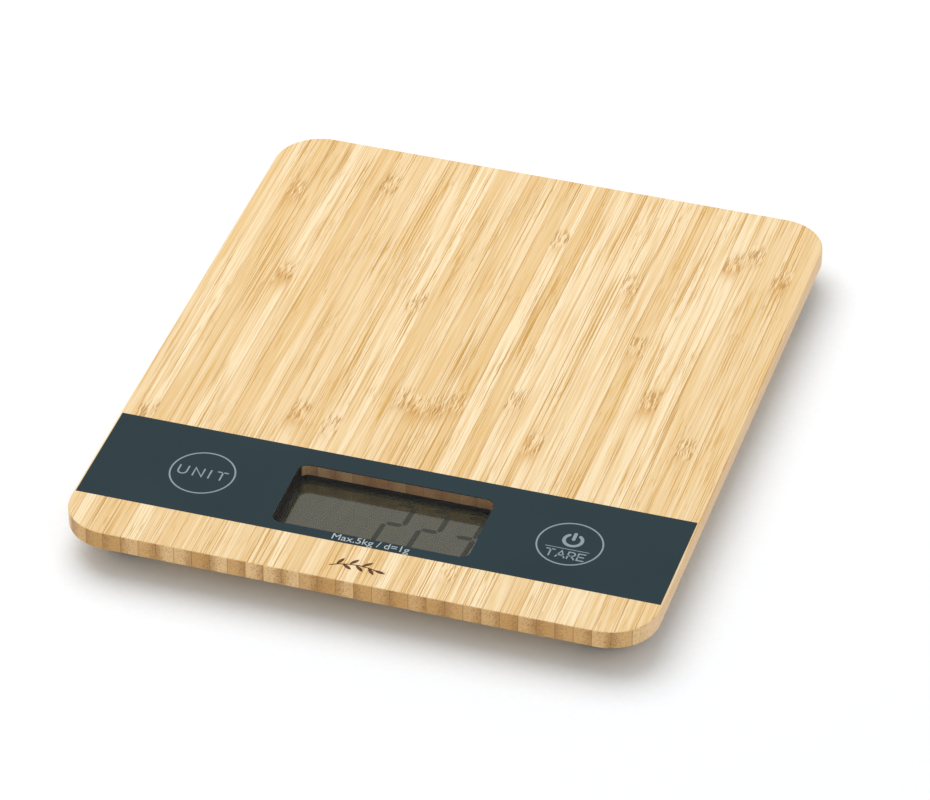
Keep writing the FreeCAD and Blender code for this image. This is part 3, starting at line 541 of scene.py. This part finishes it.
def bamboo(finish):
    """Pressed bamboo slats on edge: fibres run front to back, and show as dots on the sawn ends."""
    s = Shader("pressed_bamboo")
    across, along, upright = s.add("SeparateXYZ", {0: s.place}).outputs
    start = BOARD_LOW.x - FIRST_SLAT_TRIM
    slats = s.sum("DIVIDE", s.sum("SUBTRACT", across, start), finish.slat_width)
    slat = s.sum("FLOOR", slats)
    within = s.sum("FRACT", slats)
    edge = s.sum("ABSOLUTE", s.sum("SUBTRACT", within, 0.5))
    chance = s.add("TexWhiteNoise", {"W": slat}, noise_dimensions="1D")
    tone, shift, flip = s.add("SeparateXYZ", {0: chance.outputs["Color"]}).outputs

    behind, present = behind_joint(s, along, slat)
    lean = s.sum("MULTIPLY_ADD", tone, 4 * MM, -2 * MM)
    wander = s.times(s.sum("SUBTRACT", within, 0.5), lean)
    away = s.sum("DIVIDE", s.sum("ADD", behind, wander), 5.2 * MM)
    near = s.times(s.bell(away), present)
    fibre = slat_fibre(s, near, tone, shift, flip)
    base, fine, flecks = long_grain(s, finish, fibre, tone)

    # glue lines between the slats
    seam = s.times(s.ramp(edge, 0.455, 0.49), s.ramp(flip, 0.1, 1.0, 0.15, 0.85))
    base = s.mix(seam, base, (0.56, 0.32, 0.12))
    base = joint_marks(s, base, fibre, near, behind, present, shift)

    # sawn ends, the planed flanks, and painted shade on the walls of the opening
    normal = s.tree.nodes.new("ShaderNodeNewGeometry").outputs["Normal"]
    face_x, face_y, _ = s.add("SeparateXYZ", {0: normal}).outputs
    sawn = s.ramp(s.sum("ABSOLUTE", face_y), 0.45, 0.75)
    end = sawn_end(s, within, edge, shift, flip)
    base = s.mix(sawn, base, end)
    flank = s.ramp(s.sum("ABSOLUTE", face_x), 0.75, 0.95, 0.0, 0.6)
    base = s.mix(flank, base, (0.85, 0.57, 0.335))
    # painted shade: the long-grain walls of the opening go near black, and the end-grain walls go halfway to
    # dark brown
    opening_wall_shade = s.mix(sawn, (0.030, 0.022, 0.016), s.mix(0.5, end, (0.30, 0.175, 0.125)))
    base = s.mix(in_opening(s, across, along, upright), base, opening_wall_shade)

    dents = s.sum("ADD", seam, s.times(flecks, 0.5))
    s.bump(s.sum("SUBTRACT", s.times(fine, -0.6), dents), 0.12, 0.08 * MM)
    rough = s.ramp(fine, 0.35, 0.7, 0.42, 0.56)
    return s.finish(Base_Color=base, Roughness=rough, Specular_IOR_Level=0.2)


def burnt_bamboo():
    """Bamboo browned by a hot stamp."""
    s = Shader("burnt_bamboo")
    grain = s.stretched((0.35 * MM, 6 * MM, 1 * MM), 2.0)
    colour = s.mix(s.ramp(grain, 0.35, 0.65), (0.060, 0.022, 0.008), (0.17, 0.065, 0.022))
    return s.finish(Base_Color=colour, Roughness=0.75)


# ---- films, inks and glass


def control_film(finish):
    """Satin film over a dark print, with the faint grain of its coating."""
    s = Shader("control_film")
    grain = s.stretched((0.09 * MM,) * 3, 2.0)
    cloud = s.stretched((30 * MM,) * 3, 1.0)
    shade = s.mix(s.ramp(cloud, 0.3, 0.7), finish.film_colour, [c * 1.12 for c in finish.film_colour])
    s.bump(grain, 0.05, 0.01 * MM)
    rough = s.ramp(cloud, 0.3, 0.7, 0.20, 0.24)
    return s.finish(Base_Color=shade, Roughness=rough, Specular_IOR_Level=0.25)


def ink(name, colour):
    """Screen-printed ink, slightly uneven in cover."""
    s = Shader(name)
    cover = s.stretched((0.35 * MM,) * 3, 2.0)
    colour = s.mix(s.ramp(cover, 0.3, 0.7), colour, [c * 0.86 for c in colour])
    return s.finish(Base_Color=colour, Roughness=0.5)


def clear_film():
    """The unprinted area of the film, clear with a faint haze."""
    s = Shader("clear_film", IOR=1.5, Specular_IOR_Level=0.5)
    haze = s.stretched((14 * MM,) * 3, 2.0)
    rough = s.ramp(haze, 0.3, 0.7, 0.08, 0.14)
    return s.finish(Base_Color=(0.05, 0.06, 0.06), Roughness=rough, Alpha=0.03)


# The glossy polariser mirrors the walls of the opening, and its unlit bars do too.
DISPLAY_SHINE = {"IOR": 1.7, "Specular_IOR_Level": 1.0, "Specular_Tint": (1.0, 0.97, 0.84)}


def polariser():
    """The grey-green face of a reflective display."""
    s = Shader("display_face")
    cloud = s.stretched((16 * MM,) * 3, 2.0)
    colour = s.mix(s.ramp(cloud, 0.3, 0.7), (0.043, 0.041, 0.024), (0.052, 0.050, 0.030))
    return s.finish(Base_Color=colour, Roughness=0.11, **DISPLAY_SHINE)


def display_bar(name, colour, **shine):
    """A bar of the display: liquid crystal, dark where it is switched on."""
    s = Shader(name, **shine)
    cloud = s.stretched((3 * MM,) * 3, 1.0)
    shade = s.mix(s.ramp(cloud, 0.3, 0.7), colour, [c * 1.25 for c in colour])
    return s.finish(Base_Color=shade, Roughness=0.1)


def display_glass():
    """The display's two panes, clear and faintly green."""
    s = Shader("display_glass", IOR=1.5)
    edge = s.stretched((4 * MM,) * 3, 1.0)
    colour = s.mix(s.ramp(edge, 0.3, 0.7), (0.62, 0.72, 0.66), (0.7, 0.78, 0.73))
    return s.finish(Base_Color=colour, Roughness=0.06, Alpha=0.35)


# ---- plastics, rubber and metals


def moulded(name, colour, grain_size, roughness, relief=0.25):
    """Injection-moulded plastic with a spark-eroded grain."""
    s = Shader(name)
    grain = s.stretched((grain_size,) * 3, 3.0, roughness=0.6)
    flow = s.stretched((22 * MM, 35 * MM, 12 * MM), 1.0)
    shade = s.mix(s.ramp(flow, 0.3, 0.7), colour, [min(1, c * 1.3) for c in colour])
    s.bump(grain, relief, 0.03 * MM)
    return s.finish(Base_Color=shade, Roughness=s.ramp(grain, 0.3, 0.7, roughness - 0.06, roughness + 0.08))


def soft_rubber(name, colour):
    """Dull rubber or foam with a little dust on it."""
    s = Shader(name)
    grain = s.stretched((0.3 * MM,) * 3, 3.0)
    dust = s.stretched((3 * MM,) * 3, 3.0)
    shade = s.mix(s.ramp(dust, 0.5, 0.75, 0.0, 0.5), colour, [min(1, c * 1.9 + 0.01) for c in colour])
    s.bump(grain, 0.3, 0.05 * MM)
    return s.finish(Base_Color=shade, Roughness=0.82, Specular_IOR_Level=0.25)


def plated(name, colour, scratch, roughness):
    """Metal with fine lines; scratch is the length of a grain along X, Y and Z."""
    s = Shader(name, Metallic=1.0)
    lines = s.stretched(scratch, 3.0, roughness=0.65)
    tarnish = s.stretched((5 * MM,) * 3, 2.0)
    shade = s.mix(s.ramp(tarnish, 0.4, 0.75, 0.0, 0.5), colour, [c * 0.72 for c in colour])
    s.bump(lines, 0.08, 0.01 * MM)
    return s.finish(Base_Color=shade, Roughness=s.ramp(lines, 0.3, 0.7, roughness - 0.08, roughness + 0.1))


def solder_mask():
    """Green mask over copper tracks that run in steps."""
    s = Shader("solder_mask")
    across, along, _ = s.add("SeparateXYZ", {0: s.place}).outputs
    route = s.stretched((7 * MM, 7 * MM, 40 * MM), 0.0)
    lanes = s.sum("FRACT", s.sum("DIVIDE", s.sum("MULTIPLY_ADD", route, 12 * MM, along), 1.4 * MM))
    track = s.ramp(s.sum("ABSOLUTE", s.sum("SUBTRACT", lanes, 0.5)), 0.26, 0.20)
    colour = s.mix(track, (0.018, 0.115, 0.045), (0.035, 0.20, 0.075))
    s.bump(track, 0.3, 0.03 * MM)
    return s.finish(Base_Color=colour, Roughness=0.28)


def wire_sheaths(name, centre, turn):
    """Three sheaths side by side in white, red and black, told apart by their place across the cable."""
    s = Shader(name)
    moved = s.add("VectorMath", {0: s.place, 1: centre}, operation="SUBTRACT").outputs[0]
    way = (-math.sin(turn), math.cos(turn), 0)
    side = s.add("VectorMath", {0: moved, 1: way}, operation="DOT_PRODUCT").outputs["Value"]
    colour = s.mix(s.sum("GREATER_THAN", side, -0.45 * MM), (0.72, 0.72, 0.70), (0.42, 0.012, 0.010))
    colour = s.mix(s.sum("GREATER_THAN", side, 0.45 * MM), colour, (0.012, 0.012, 0.013))
    return s.finish(Base_Color=colour, Roughness=0.45)


# ---- operators


class SCALE_OT_stage(bpy.types.Operator):
    """Make the floor, the lights and the camera"""

    bl_idname = "kitchen_scale.stage"
    bl_label = "Stage"

    # what the camera looks at, in millimetres from the middle of the platform's top
    AIM = (4.54, -6.78, -5.39)
    ROLL = math.radians(-0.114)
    KEY_WAY = (-2.8, 2.7, 9.0)
    KEY_SIZE = 1.6
    KEY_DISTANCE = 1.6
    FLOOR_REACH = 3.0

    def execute(self, context):
        stage = context.scene.scale_stage
        self.camera(context, stage)
        self.lights(context, stage)
        floor = bpy.data.meshes.new("floor")
        reach = self.FLOOR_REACH
        corners = [(-reach, -reach, 0), (reach, -reach, 0), (reach, reach, 0), (-reach, reach, 0)]
        floor.from_pydata(corners, [], [(0, 1, 2, 3)])
        paper = Shader("pale_floor")
        tooth = paper.stretched((2 * MM,) * 3, 2.0)
        colour = paper.mix(paper.ramp(tooth, 0.3, 0.7), (0.94, 0.96, 0.985), (0.96, 0.975, 0.99))
        floor.materials.append(paper.finish(Base_Color=colour, Roughness=0.9, Specular_IOR_Level=0.1))
        table = linked("floor", floor)
        return {"FINISHED"}

    def camera(self, context, stage):
        """A long lens that looks down on the scale from its front right."""
        x, y, z = self.AIM
        target = Vector((x * MM, y * MM, BOARD_HIGH.z + z * MM))
        turn, rise = stage.azimuth, stage.elevation
        back = Vector((math.sin(turn) * math.cos(rise), -math.cos(turn) * math.cos(rise), math.sin(rise)))
        right = Vector((math.cos(turn), math.sin(turn), 0))
        up = back.cross(right)
        level = Matrix((right, up, back)).transposed().to_4x4()
        data = bpy.data.cameras.new("camera")
        data.lens = stage.lens
        data.sensor_width = 36
        data.clip_start, data.clip_end = 0.05, 20
        camera = linked("camera", data)
        spin = Matrix.Rotation(-self.ROLL, 4, "Z")
        camera.matrix_world = Matrix.Translation(target + back * stage.distance) @ level @ spin
        context.scene.camera = camera

    def lights(self, context, stage):
        """A broad soft key from above, behind and to the left, and an even white surround."""
        toward = Vector(self.KEY_WAY).normalized()
        data = bpy.data.lights.new("key", "AREA")
        data.shape = "DISK"
        data.size = self.KEY_SIZE
        data.energy = stage.key_power
        key = linked("key", data)
        key.location = toward * self.KEY_DISTANCE
        key.rotation_mode = "QUATERNION"
        key.rotation_quaternion = toward.to_track_quat("Z", "Y")
        key.visible_glossy = False
        world = bpy.data.worlds.new("studio")
        world.use_nodes = True
        surround = world.node_tree.nodes["Background"].inputs
        surround["Color"].default_value = (1, 1, 1, 1)
        surround["Strength"].default_value = stage.fill
        context.scene.world = world
        context.scene.view_settings.view_transform = "Standard"


class SCALE_OT_platform(bpy.types.Operator):
    """Finish the bamboo platform and stamp the leaf mark on it"""

    bl_idname = "kitchen_scale.platform"
    bl_label = "Bamboo platform"

    # millimetres from the middle of the front edge; a leaf has its turn in degrees last
    STEM = ((-7, 6.3), (-4.5, 7.4), (-1.5, 8.1), (1.5, 8.3), (4.5, 8.0), (6.6, 7.4))
    LEAVES = (
        (-5.2, 7.1, 66), (-3.4, 7.7, -32), (-1.6, 8.1, 52), (0.4, 8.2, -40),
        (2.2, 8.3, 40), (4.2, 8.0, -48), (6.2, 7.5, -12),
    )
    LEAF_LENGTH = 3.6
    LEAF_WIDTH = 1.15

    def execute(self, context):
        finish = context.scene.scale_finish
        dress("bamboo_platform", bamboo(finish))
        leaves = [self.leaf(*leaf, self.LEAF_LENGTH, self.LEAF_WIDTH) for leaf in self.LEAVES]
        stem = stroke([(x * MM, BOARD_LOW.y + y * MM) for x, y in self.STEM], 0.42 * MM)
        top = BOARD_HIGH.z
        mark = plates([*leaves, stem], top - 0.02 * MM, top + finish.ink_height)
        solid("leaf_mark", mark, burnt_bamboo(), ROOT)
        return {"FINISHED"}

    def leaf(self, x, y, turn, length, width):
        """A pointed leaf with its stalk end at x, y. Lengths are in millimetres, the turn in degrees."""
        radius = ((length / 2) ** 2 + (width / 2) ** 2) / width
        half = math.degrees(math.asin(length / 2 / radius))
        below = arc(length / 2, radius - width / 2, radius, 270 - half, 270 + half, 12)
        above = arc(length / 2, width / 2 - radius, radius, 90 - half, 90 + half, 12)
        spin = Matrix.Rotation(math.radians(turn), 2)
        outline = [spin @ Vector(point) for point in below[:-1] + above[:-1]]
        return [((x + p.x) * MM, BOARD_LOW.y + (y + p.y) * MM) for p in outline]


class SCALE_OT_panel(bpy.types.Operator):
    """Finish the control film and print its key rings and legends"""

    bl_idname = "kitchen_scale.panel"
    bl_label = "Control panel"

    def execute(self, context):
        finish = context.scene.scale_finish
        film = control_film(finish)
        self.ink = ink("key_ink", finish.ink_colour)
        self.levels = (FILM_HIGH.z - 0.005 * MM, FILM_HIGH.z + finish.ink_height)
        for node in ("panel_film", "unit_key_film", "tare_key_film"):
            dress(node, film)
        dress("display_window", clear_film())
        for key in KEYS:
            dress(f"{key}_key_plunger", moulded("key_plunger_white", (0.72, 0.72, 0.70), 0.2 * MM, 0.5))
        self.unit_key(finish)
        self.tare_key(finish)
        self.capacity()
        return {"FINISHED"}

    def key_ring(self, centre, finish):
        radius = 9.74 * MM
        half = finish.line_width / 2
        return ring_mesh(centre, radius - half, radius + half, *self.levels)

    def unit_key(self, finish):
        centre = middle("unit_key_film")
        strokes = lettering("UNIT", centre.xy, 3.75 * MM, 14.8 * MM, 0.5 * MM)
        mesh = joined([self.key_ring(centre, finish), plates(strokes, *self.levels)])
        solid("unit_key_print", mesh, self.ink, "unit_key")

    def tare_key(self, finish):
        """The ring, the switch sign over a thin line, and the word under it."""
        centre = middle("tare_key_film")
        x, y = centre.xy
        sign = (x + 0.45 * MM, y + 1.95 * MM)
        turn = arc(*sign, 2.7 * MM, 128, 412, 40)
        marks = [
            stroke(turn, 1.05 * MM),
            stroke([(sign[0], sign[1] + 0.35 * MM), (sign[0], sign[1] + 3.1 * MM)], 1.05 * MM),
            stroke([(x - 6.6 * MM, y - 2.45 * MM), (x + 6.6 * MM, y - 2.45 * MM)], 0.26 * MM),
        ]
        marks += lettering("TARE", (x, y - 5.15 * MM), 3.1 * MM, 11.7 * MM, 0.46 * MM)
        mesh = joined([self.key_ring(centre, finish), plates(marks, *self.levels)])
        solid("tare_key_print", mesh, self.ink, "tare_key")

    def capacity(self):
        """A plain line with the largest weight and the division."""
        data = bpy.data.curves.new("capacity", "FONT")
        data.body = "Max.5kg / d=1g"
        data.align_x = "CENTER"
        data.align_y = "CENTER"
        data.size = 3.85 * MM
        data.extrude = 0.006 * MM
        mesh = baked(linked("capacity", data))
        strip = (FILM_LOW.y + WINDOW_LOW.y) / 2
        mesh.transform(Matrix.Translation((1.2 * MM, strip + 0.15 * MM, FILM_HIGH.z + 0.004 * MM)))
        solid("capacity_print", mesh, ink("capacity_ink", (0.50, 0.54, 0.55)), ROOT)


class SCALE_OT_display(bpy.types.Operator):
    """Finish the display and set its figures"""

    bl_idname = "kitchen_scale.display"
    bl_label = "Display"

    # bars of a figure: top, upper right, lower right, bottom, lower left, upper left, middle
    FIGURES = ("abcdef", "bc", "abged", "abgcd", "fgbc", "afgcd", "afgedc", "abc", "abcdefg", "abcdfg")
    PLACES = 5
    # the last figure's middle from the window's right side, and the row from the platform's front edge
    LAST_INSET = 5.7 * MM
    ROW = 36.15 * MM

    def execute(self, context):
        dress("lcd_front_polariser", polariser())
        for node in ("lcd_front_glass", "lcd_rear_glass"):
            dress(node, display_glass())
        dress("lcd_reflector", plated("matt_foil", (0.55, 0.56, 0.50), (0.2 * MM,) * 3, 0.5))
        dress("zebra_connector", self.zebra())
        dress("lcd_foam_strip", soft_rubber("dark_foam", (0.03, 0.03, 0.032)))
        self.figures(context.scene.scale_display)
        return {"FINISHED"}

    def zebra(self):
        """Silicone with thin conducting stripes."""
        s = Shader("zebra_silicone")
        across = s.add("SeparateXYZ", {0: s.place}).outputs[0]
        stripe = s.sum("GREATER_THAN", s.sum("FRACT", s.sum("DIVIDE", across, 0.2 * MM)), 0.5)
        return s.finish(Base_Color=s.mix(stripe, (0.02, 0.02, 0.02), (0.45, 0.45, 0.42)), Roughness=0.6)

    def figures(self, display):
        """The lit bars, and the faint ones that are not lit."""
        reading = str(display.reading)
        shown = dict(zip(range(self.PLACES - len(reading), self.PLACES), reading))
        lit, unlit = [], []
        last = WINDOW_HIGH.x - self.LAST_INSET
        centre_y = BOARD_LOW.y + self.ROW
        for place in range(self.PLACES):
            centre = (last - (self.PLACES - 1 - place) * display.digit_pitch, centre_y)
            bars = self.FIGURES[int(shown[place])] if place in shown else ""
            for name in "abcdefg":
                (lit if name in bars else unlit).append(self.bar(name, centre, display))
        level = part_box("lcd_front_polariser")[1].z
        body = display_bar("display_bar_on", (0.036, 0.036, 0.026), Specular_IOR_Level=0.4)
        bars = plates(lit, level - 0.01 * MM, level + 0.02 * MM)
        solid("display_figures", bars, body, ROOT)
        faint = display_bar("display_bar_off", (0.036, 0.034, 0.022), **DISPLAY_SHINE)
        bars = plates(unlit, level - 0.01 * MM, level + 0.01 * MM)
        solid("display_ghosts", bars, faint, ROOT)

    def bar(self, name, centre, display):
        """One six-sided bar of a figure."""
        half = display.digit_height / 2 - display.bar_width / 2
        wide = display.digit_width / 2 - display.bar_width / 2
        thick = display.bar_width / 2
        gap = 0.28 * MM
        ends = {
            "a": ((-wide, half), (wide, half)),
            "b": ((wide, half), (wide, 0)),
            "c": ((wide, 0), (wide, -half)),
            "d": ((-wide, -half), (wide, -half)),
            "e": ((-wide, 0), (-wide, -half)),
            "f": ((-wide, half), (-wide, 0)),
            "g": ((-wide, 0), (wide, 0)),
        }[name]
        start, end = Vector(ends[0]), Vector(ends[1])
        along = (end - start).normalized()
        side = Vector((-along.y, along.x)) * thick
        start, end = start + along * gap, end - along * gap
        corners = [start, start + along * thick - side, end - along * thick - side,
                   end, end - along * thick + side, start + along * thick + side]
        lean = math.tan(display.slant)
        return [(centre[0] + p.x + p.y * lean, centre[1] + p.y) for p in corners]


class SCALE_OT_housing(bpy.types.Operator):
    """Finish the plastic housing and ridge its battery door"""

    bl_idname = "kitchen_scale.housing"
    bl_label = "Housing"

    def execute(self, context):
        black = moulded("black_moulding", (0.017, 0.017, 0.018), 0.22 * MM, 0.52)
        for node in (
            "upper_housing", "rear_cover", "battery_door", "front_cable_channels", "rear_cable_channels",
        ):
            dress(node, black)
        self.ridges(black)
        return {"FINISHED"}

    def ridges(self, material):
        """A row of finger ridges across the battery door, behind its nail slot."""
        sizes = {"Count": ("Int", 5), "Pitch": ("Float", 1.3 * MM), "Length": ("Float", 9 * MM)}
        ridges = Pattern("finger_ridges", **sizes)
        count, pitch, length = (ridges.values[name] for name in sizes)
        step = ridges.add("ShaderNodeCombineXYZ", {"Y": pitch})
        row = ridges.add("GeometryNodeMeshLine", {"Count": count, "Offset": step.outputs[0]})
        rod = ridges.add("GeometryNodeMeshCylinder", {"Vertices": 20, "Radius": 0.32 * MM, "Depth": length})
        tree = ridges.spread(row.outputs["Mesh"], rod.outputs["Mesh"], Rotation=(0, math.pi / 2, 0))
        mesh = grown(tree, {"Material": material})
        low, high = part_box("battery_door")
        mesh.transform(Matrix.Translation((0, high.y - 9.6 * MM, low.z + 0.12 * MM)))
        solid("door_finger_ridges", mesh, material, "battery_door")


class SCALE_OT_electronics(bpy.types.Operator):
    """Finish the circuit board, its parts, the switches and the wires, and solder the wires on"""

    bl_idname = "kitchen_scale.electronics"
    bl_label = "Electronics"

    def execute(self, context):
        dress("main_board", solder_mask())
        dress("chip_blob", moulded("black_epoxy", (0.01, 0.01, 0.011), 0.6 * MM, 0.25))
        dress("smd_components", moulded("ceramic_parts", (0.30, 0.20, 0.11), 0.3 * MM, 0.4))
        for key in KEYS:
            dress(f"{key}_switch_body", moulded("switch_black", (0.02, 0.02, 0.02), 0.2 * MM, 0.45))
            dress(f"{key}_switch_actuator", moulded("actuator_white", (0.7, 0.7, 0.68), 0.2 * MM, 0.4))
        for foot in FEET:
            self.cable(foot)
        self.joints()
        return {"FINISHED"}

    def cable(self, foot):
        """The sheaths' colours follow the line from the foot to the board."""
        node = f"{foot}_cable"
        low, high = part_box(node)
        turn = 0.0
        if "rear" in foot:
            start, end = middle(f"{foot}_strain_gauge"), (low + high) / 2
            turn = math.atan2(end.y - start.y, end.x - start.x)
        dress(node, wire_sheaths(f"{foot}_sheaths", (low + high) / 2, turn))

    def joints(self):
        """A low bright dome of solder over the end of each wire."""
        seats = []
        for foot in FEET:
            for low, high in islands(f"{foot}_cable"):
                near_x = low.x if "right" in foot else high.x
                near_y = (low.y + high.y) / 2 if "front" in foot else low.y
                inward = 0.33 * MM if "rear" in foot else 0
                seats.append((near_x + (inward if "right" in foot else -inward), near_y, low.z))
        domes = Pattern("solder_joints", Seats=("Geometry", None), Radius=("Float", 0.42 * MM))
        shape = {"Segments": 14, "Rings": 8, "Radius": domes.values["Radius"]}
        dome = domes.add("GeometryNodeMeshUVSphere", shape)
        size = domes.add("FunctionNodeRandomValue", {2: 0.85, 3: 1.1, "Seed": 7})
        tree = domes.spread(domes.values["Seats"], dome.outputs["Mesh"], Scale=size.outputs[1])
        tin = plated("solder", (0.78, 0.78, 0.80), (0.3 * MM,) * 3, 0.22)
        solid("solder_joints", grown(tree, {"Material": tin}, seats), tin, ROOT)


class SCALE_OT_power(bpy.types.Operator):
    """Finish the coin cell and its contacts"""

    bl_idname = "kitchen_scale.power"
    bl_label = "Power"

    def execute(self, context):
        dress("coin_cell", plated("cell_can", (0.74, 0.74, 0.73), (0.3 * MM, 9 * MM, 0.3 * MM), 0.26))
        spring = plated("contact_nickel", (0.72, 0.70, 0.66), (4 * MM, 0.2 * MM, 0.2 * MM), 0.3)
        for node in ("battery_contact_negative", "battery_contact_positive"):
            dress(node, spring)
        return {"FINISHED"}


class SCALE_OT_screws(bpy.types.Operator):
    """Put cross-head screws in every seat"""

    bl_idname = "kitchen_scale.screws"
    bl_label = "Screws"

    def execute(self, context):
        zinc = plated("zinc_plate", (0.60, 0.60, 0.62), (0.25 * MM,) * 3, 0.32)
        tree = self.tree()
        for node in ("cover_screws", "housing_screws", "foot_screws"):
            boxes = islands(node)
            low, high = boxes[0]
            seats = [((a.x + b.x) / 2, (a.y + b.y) / 2, a.z) for a, b in boxes]
            pattern = self.screw((high.x - low.x) / 2, high.z - low.z)
            mesh = grown(tree, {"Screw": pattern, "Material": zinc}, seats)
            bpy.data.objects.remove(pattern)
            piece = solid(f"{node}_finished", mesh, zinc, ROOT)
            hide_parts(node)
        return {"FINISHED"}

    def screw(self, head, length):
        """A pan-head screw with its point up, a cross recess in its head and a ridged shank."""
        shank = head * 0.46
        rise = 1.0 * MM
        profile = [(0, 0), (head * 0.55, 0), (head * 0.82, 0.10 * rise), (head * 0.96, 0.34 * rise),
                   (head, 0.62 * rise), (head, 0.94 * rise), (head * 0.97, rise), (shank, rise)]
        turns = max(4, round((length - 2.2 * rise) / (0.62 * MM)))
        pitch = (length - 2.2 * rise) / turns
        for turn in range(turns):
            z = rise + 0.15 * rise + turn * pitch
            profile += [(shank * 0.84, z), (shank, z + pitch * 0.5), (shank * 0.84, z + pitch * 0.98)]
        profile += [(shank * 0.6, length - 0.5 * rise), (0, length)]
        body = linked("screw", lathe(profile, Vector((0, 0, 0)), 28))
        cutter = linked("cutter", joined([self.wedge(head, 0), self.wedge(head, math.pi / 2)]))
        cut = body.modifiers.new("recess", "BOOLEAN")
        cut.object = cutter
        cut.operation = "DIFFERENCE"
        cut.solver = "EXACT"
        cut.use_self = True
        mesh = baked(body)
        bpy.data.objects.remove(cutter)
        return linked("screw", mesh)

    def wedge(self, head, turn):
        """One arm of the cross, narrowing to its floor."""
        wide, thin, deep = head * 0.56, head * 0.12, 0.55 * MM
        work = bmesh.new()
        levels = []
        for share, z in ((1.0, -0.2 * MM), (0.55, deep)):
            corners = ((-wide, -thin), (wide, -thin), (wide, thin), (-wide, thin))
            levels.append([work.verts.new((x * share, y, z)) for x, y in corners])
        block(work, *levels)
        bmesh.ops.rotate(work, verts=work.verts, matrix=Matrix.Rotation(turn, 3, "Z"))
        return finished(work, "wedge")

    def tree(self):
        """One screw at each seat, turned as the driver left it."""
        screws = Pattern("screws_in_seats", Seats=("Geometry", None), Screw=("Object", None))
        screw = screws.add("GeometryNodeObjectInfo", {"Object": screws.values["Screw"]})
        angle = screws.add("FunctionNodeRandomValue", {2: 0.0, 3: math.pi / 2, "Seed": 3})
        turn = screws.add("ShaderNodeCombineXYZ", {"Z": angle.outputs[1]})
        return screws.spread(screws.values["Seats"], screw.outputs["Geometry"], Rotation=turn.outputs[0])


class SCALE_OT_feet(bpy.types.Operator):
    """Finish the four feet and tread their rubber pads"""

    bl_idname = "kitchen_scale.feet"
    bl_label = "Feet"

    def execute(self, context):
        holder = moulded("holder_black", (0.020, 0.020, 0.021), 0.25 * MM, 0.55)
        inner = moulded("foot_grey", (0.055, 0.055, 0.057), 0.25 * MM, 0.5)
        steel = plated("ground_steel", (0.62, 0.62, 0.61), (6 * MM, 0.15 * MM, 0.15 * MM), 0.3)
        sealant = soft_rubber("white_sealant", (0.62, 0.62, 0.59))
        rubber = soft_rubber("foot_rubber", (0.022, 0.022, 0.023))
        for foot in FEET:
            dress(f"{foot}_foot_holder", holder)
            dress(f"{foot}_foot", inner)
            dress(f"{foot}_load_cell", steel)
            dress(f"{foot}_strain_gauge", sealant)
            self.pad(f"{foot}_rubber_pad", rubber)
        return {"FINISHED"}

    def pad(self, node, material):
        """A rubber pad with three round grooves and soft edges."""
        low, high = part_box(node)
        centre = (low + high) / 2
        radius = (high.x - low.x) / 2
        groove, depth, soft = 0.45 * MM, 0.4 * MM, 0.25 * MM
        profile = [(0, low.z)]
        for share in (0.32, 0.55, 0.78):
            middle_r = radius * share
            profile += [(middle_r - groove, low.z), (middle_r - groove * 0.6, low.z + depth)]
            profile += [(middle_r + groove * 0.6, low.z + depth), (middle_r + groove, low.z)]
        profile += [(radius - soft, low.z)]
        for turn in (0.5, 1.05, 1.5708):
            profile += [(radius - soft + soft * math.sin(turn), low.z + soft - soft * math.cos(turn))]
        profile += [(radius, high.z), (0, high.z)]
        piece = solid(f"{node}_treaded", lathe(profile, centre), material, ROOT)
        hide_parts(node)


class SCALE_PT_panel(bpy.types.Panel):
    """The pieces of the kitchen scale"""

    bl_idname = "SCALE_PT_panel"
    bl_label = "Kitchen scale"
    bl_space_type = "VIEW_3D"
    bl_region_type = "UI"
    bl_category = "Kitchen scale"

    def draw(self, context):
        layout = self.layout
        for name in GROUPS:
            group = getattr(context.scene, name)
            for prop in group.bl_rna.properties:
                if prop.identifier not in ("rna_type", "name"):
                    layout.prop(group, prop.identifier)
        for step in STEPS:
            layout.operator(step.bl_idname)


STEPS = (
    SCALE_OT_stage,
    SCALE_OT_platform,
    SCALE_OT_panel,
    SCALE_OT_display,
    SCALE_OT_housing,
    SCALE_OT_electronics,
    SCALE_OT_power,
    SCALE_OT_screws,
    SCALE_OT_feet,
)
GROUPS = {"scale_stage": ScaleStage, "scale_finish": ScaleFinish, "scale_display": ScaleDisplay}
CLASSES = (*GROUPS.values(), *STEPS, SCALE_PT_panel)


def register():
    for item in CLASSES:
        bpy.utils.register_class(item)
    for name, group in GROUPS.items():
        setattr(bpy.types.Scene, name, PointerProperty(type=group))


def unregister():
    for name in GROUPS:
        delattr(bpy.types.Scene, name)
    for item in reversed(CLASSES):
        bpy.utils.unregister_class(item)


def main():
    register()
    for step in STEPS:
        family, name = step.bl_idname.split(".")
        getattr(getattr(bpy.ops, family), name)()


if __name__ == "__main__":
    main()
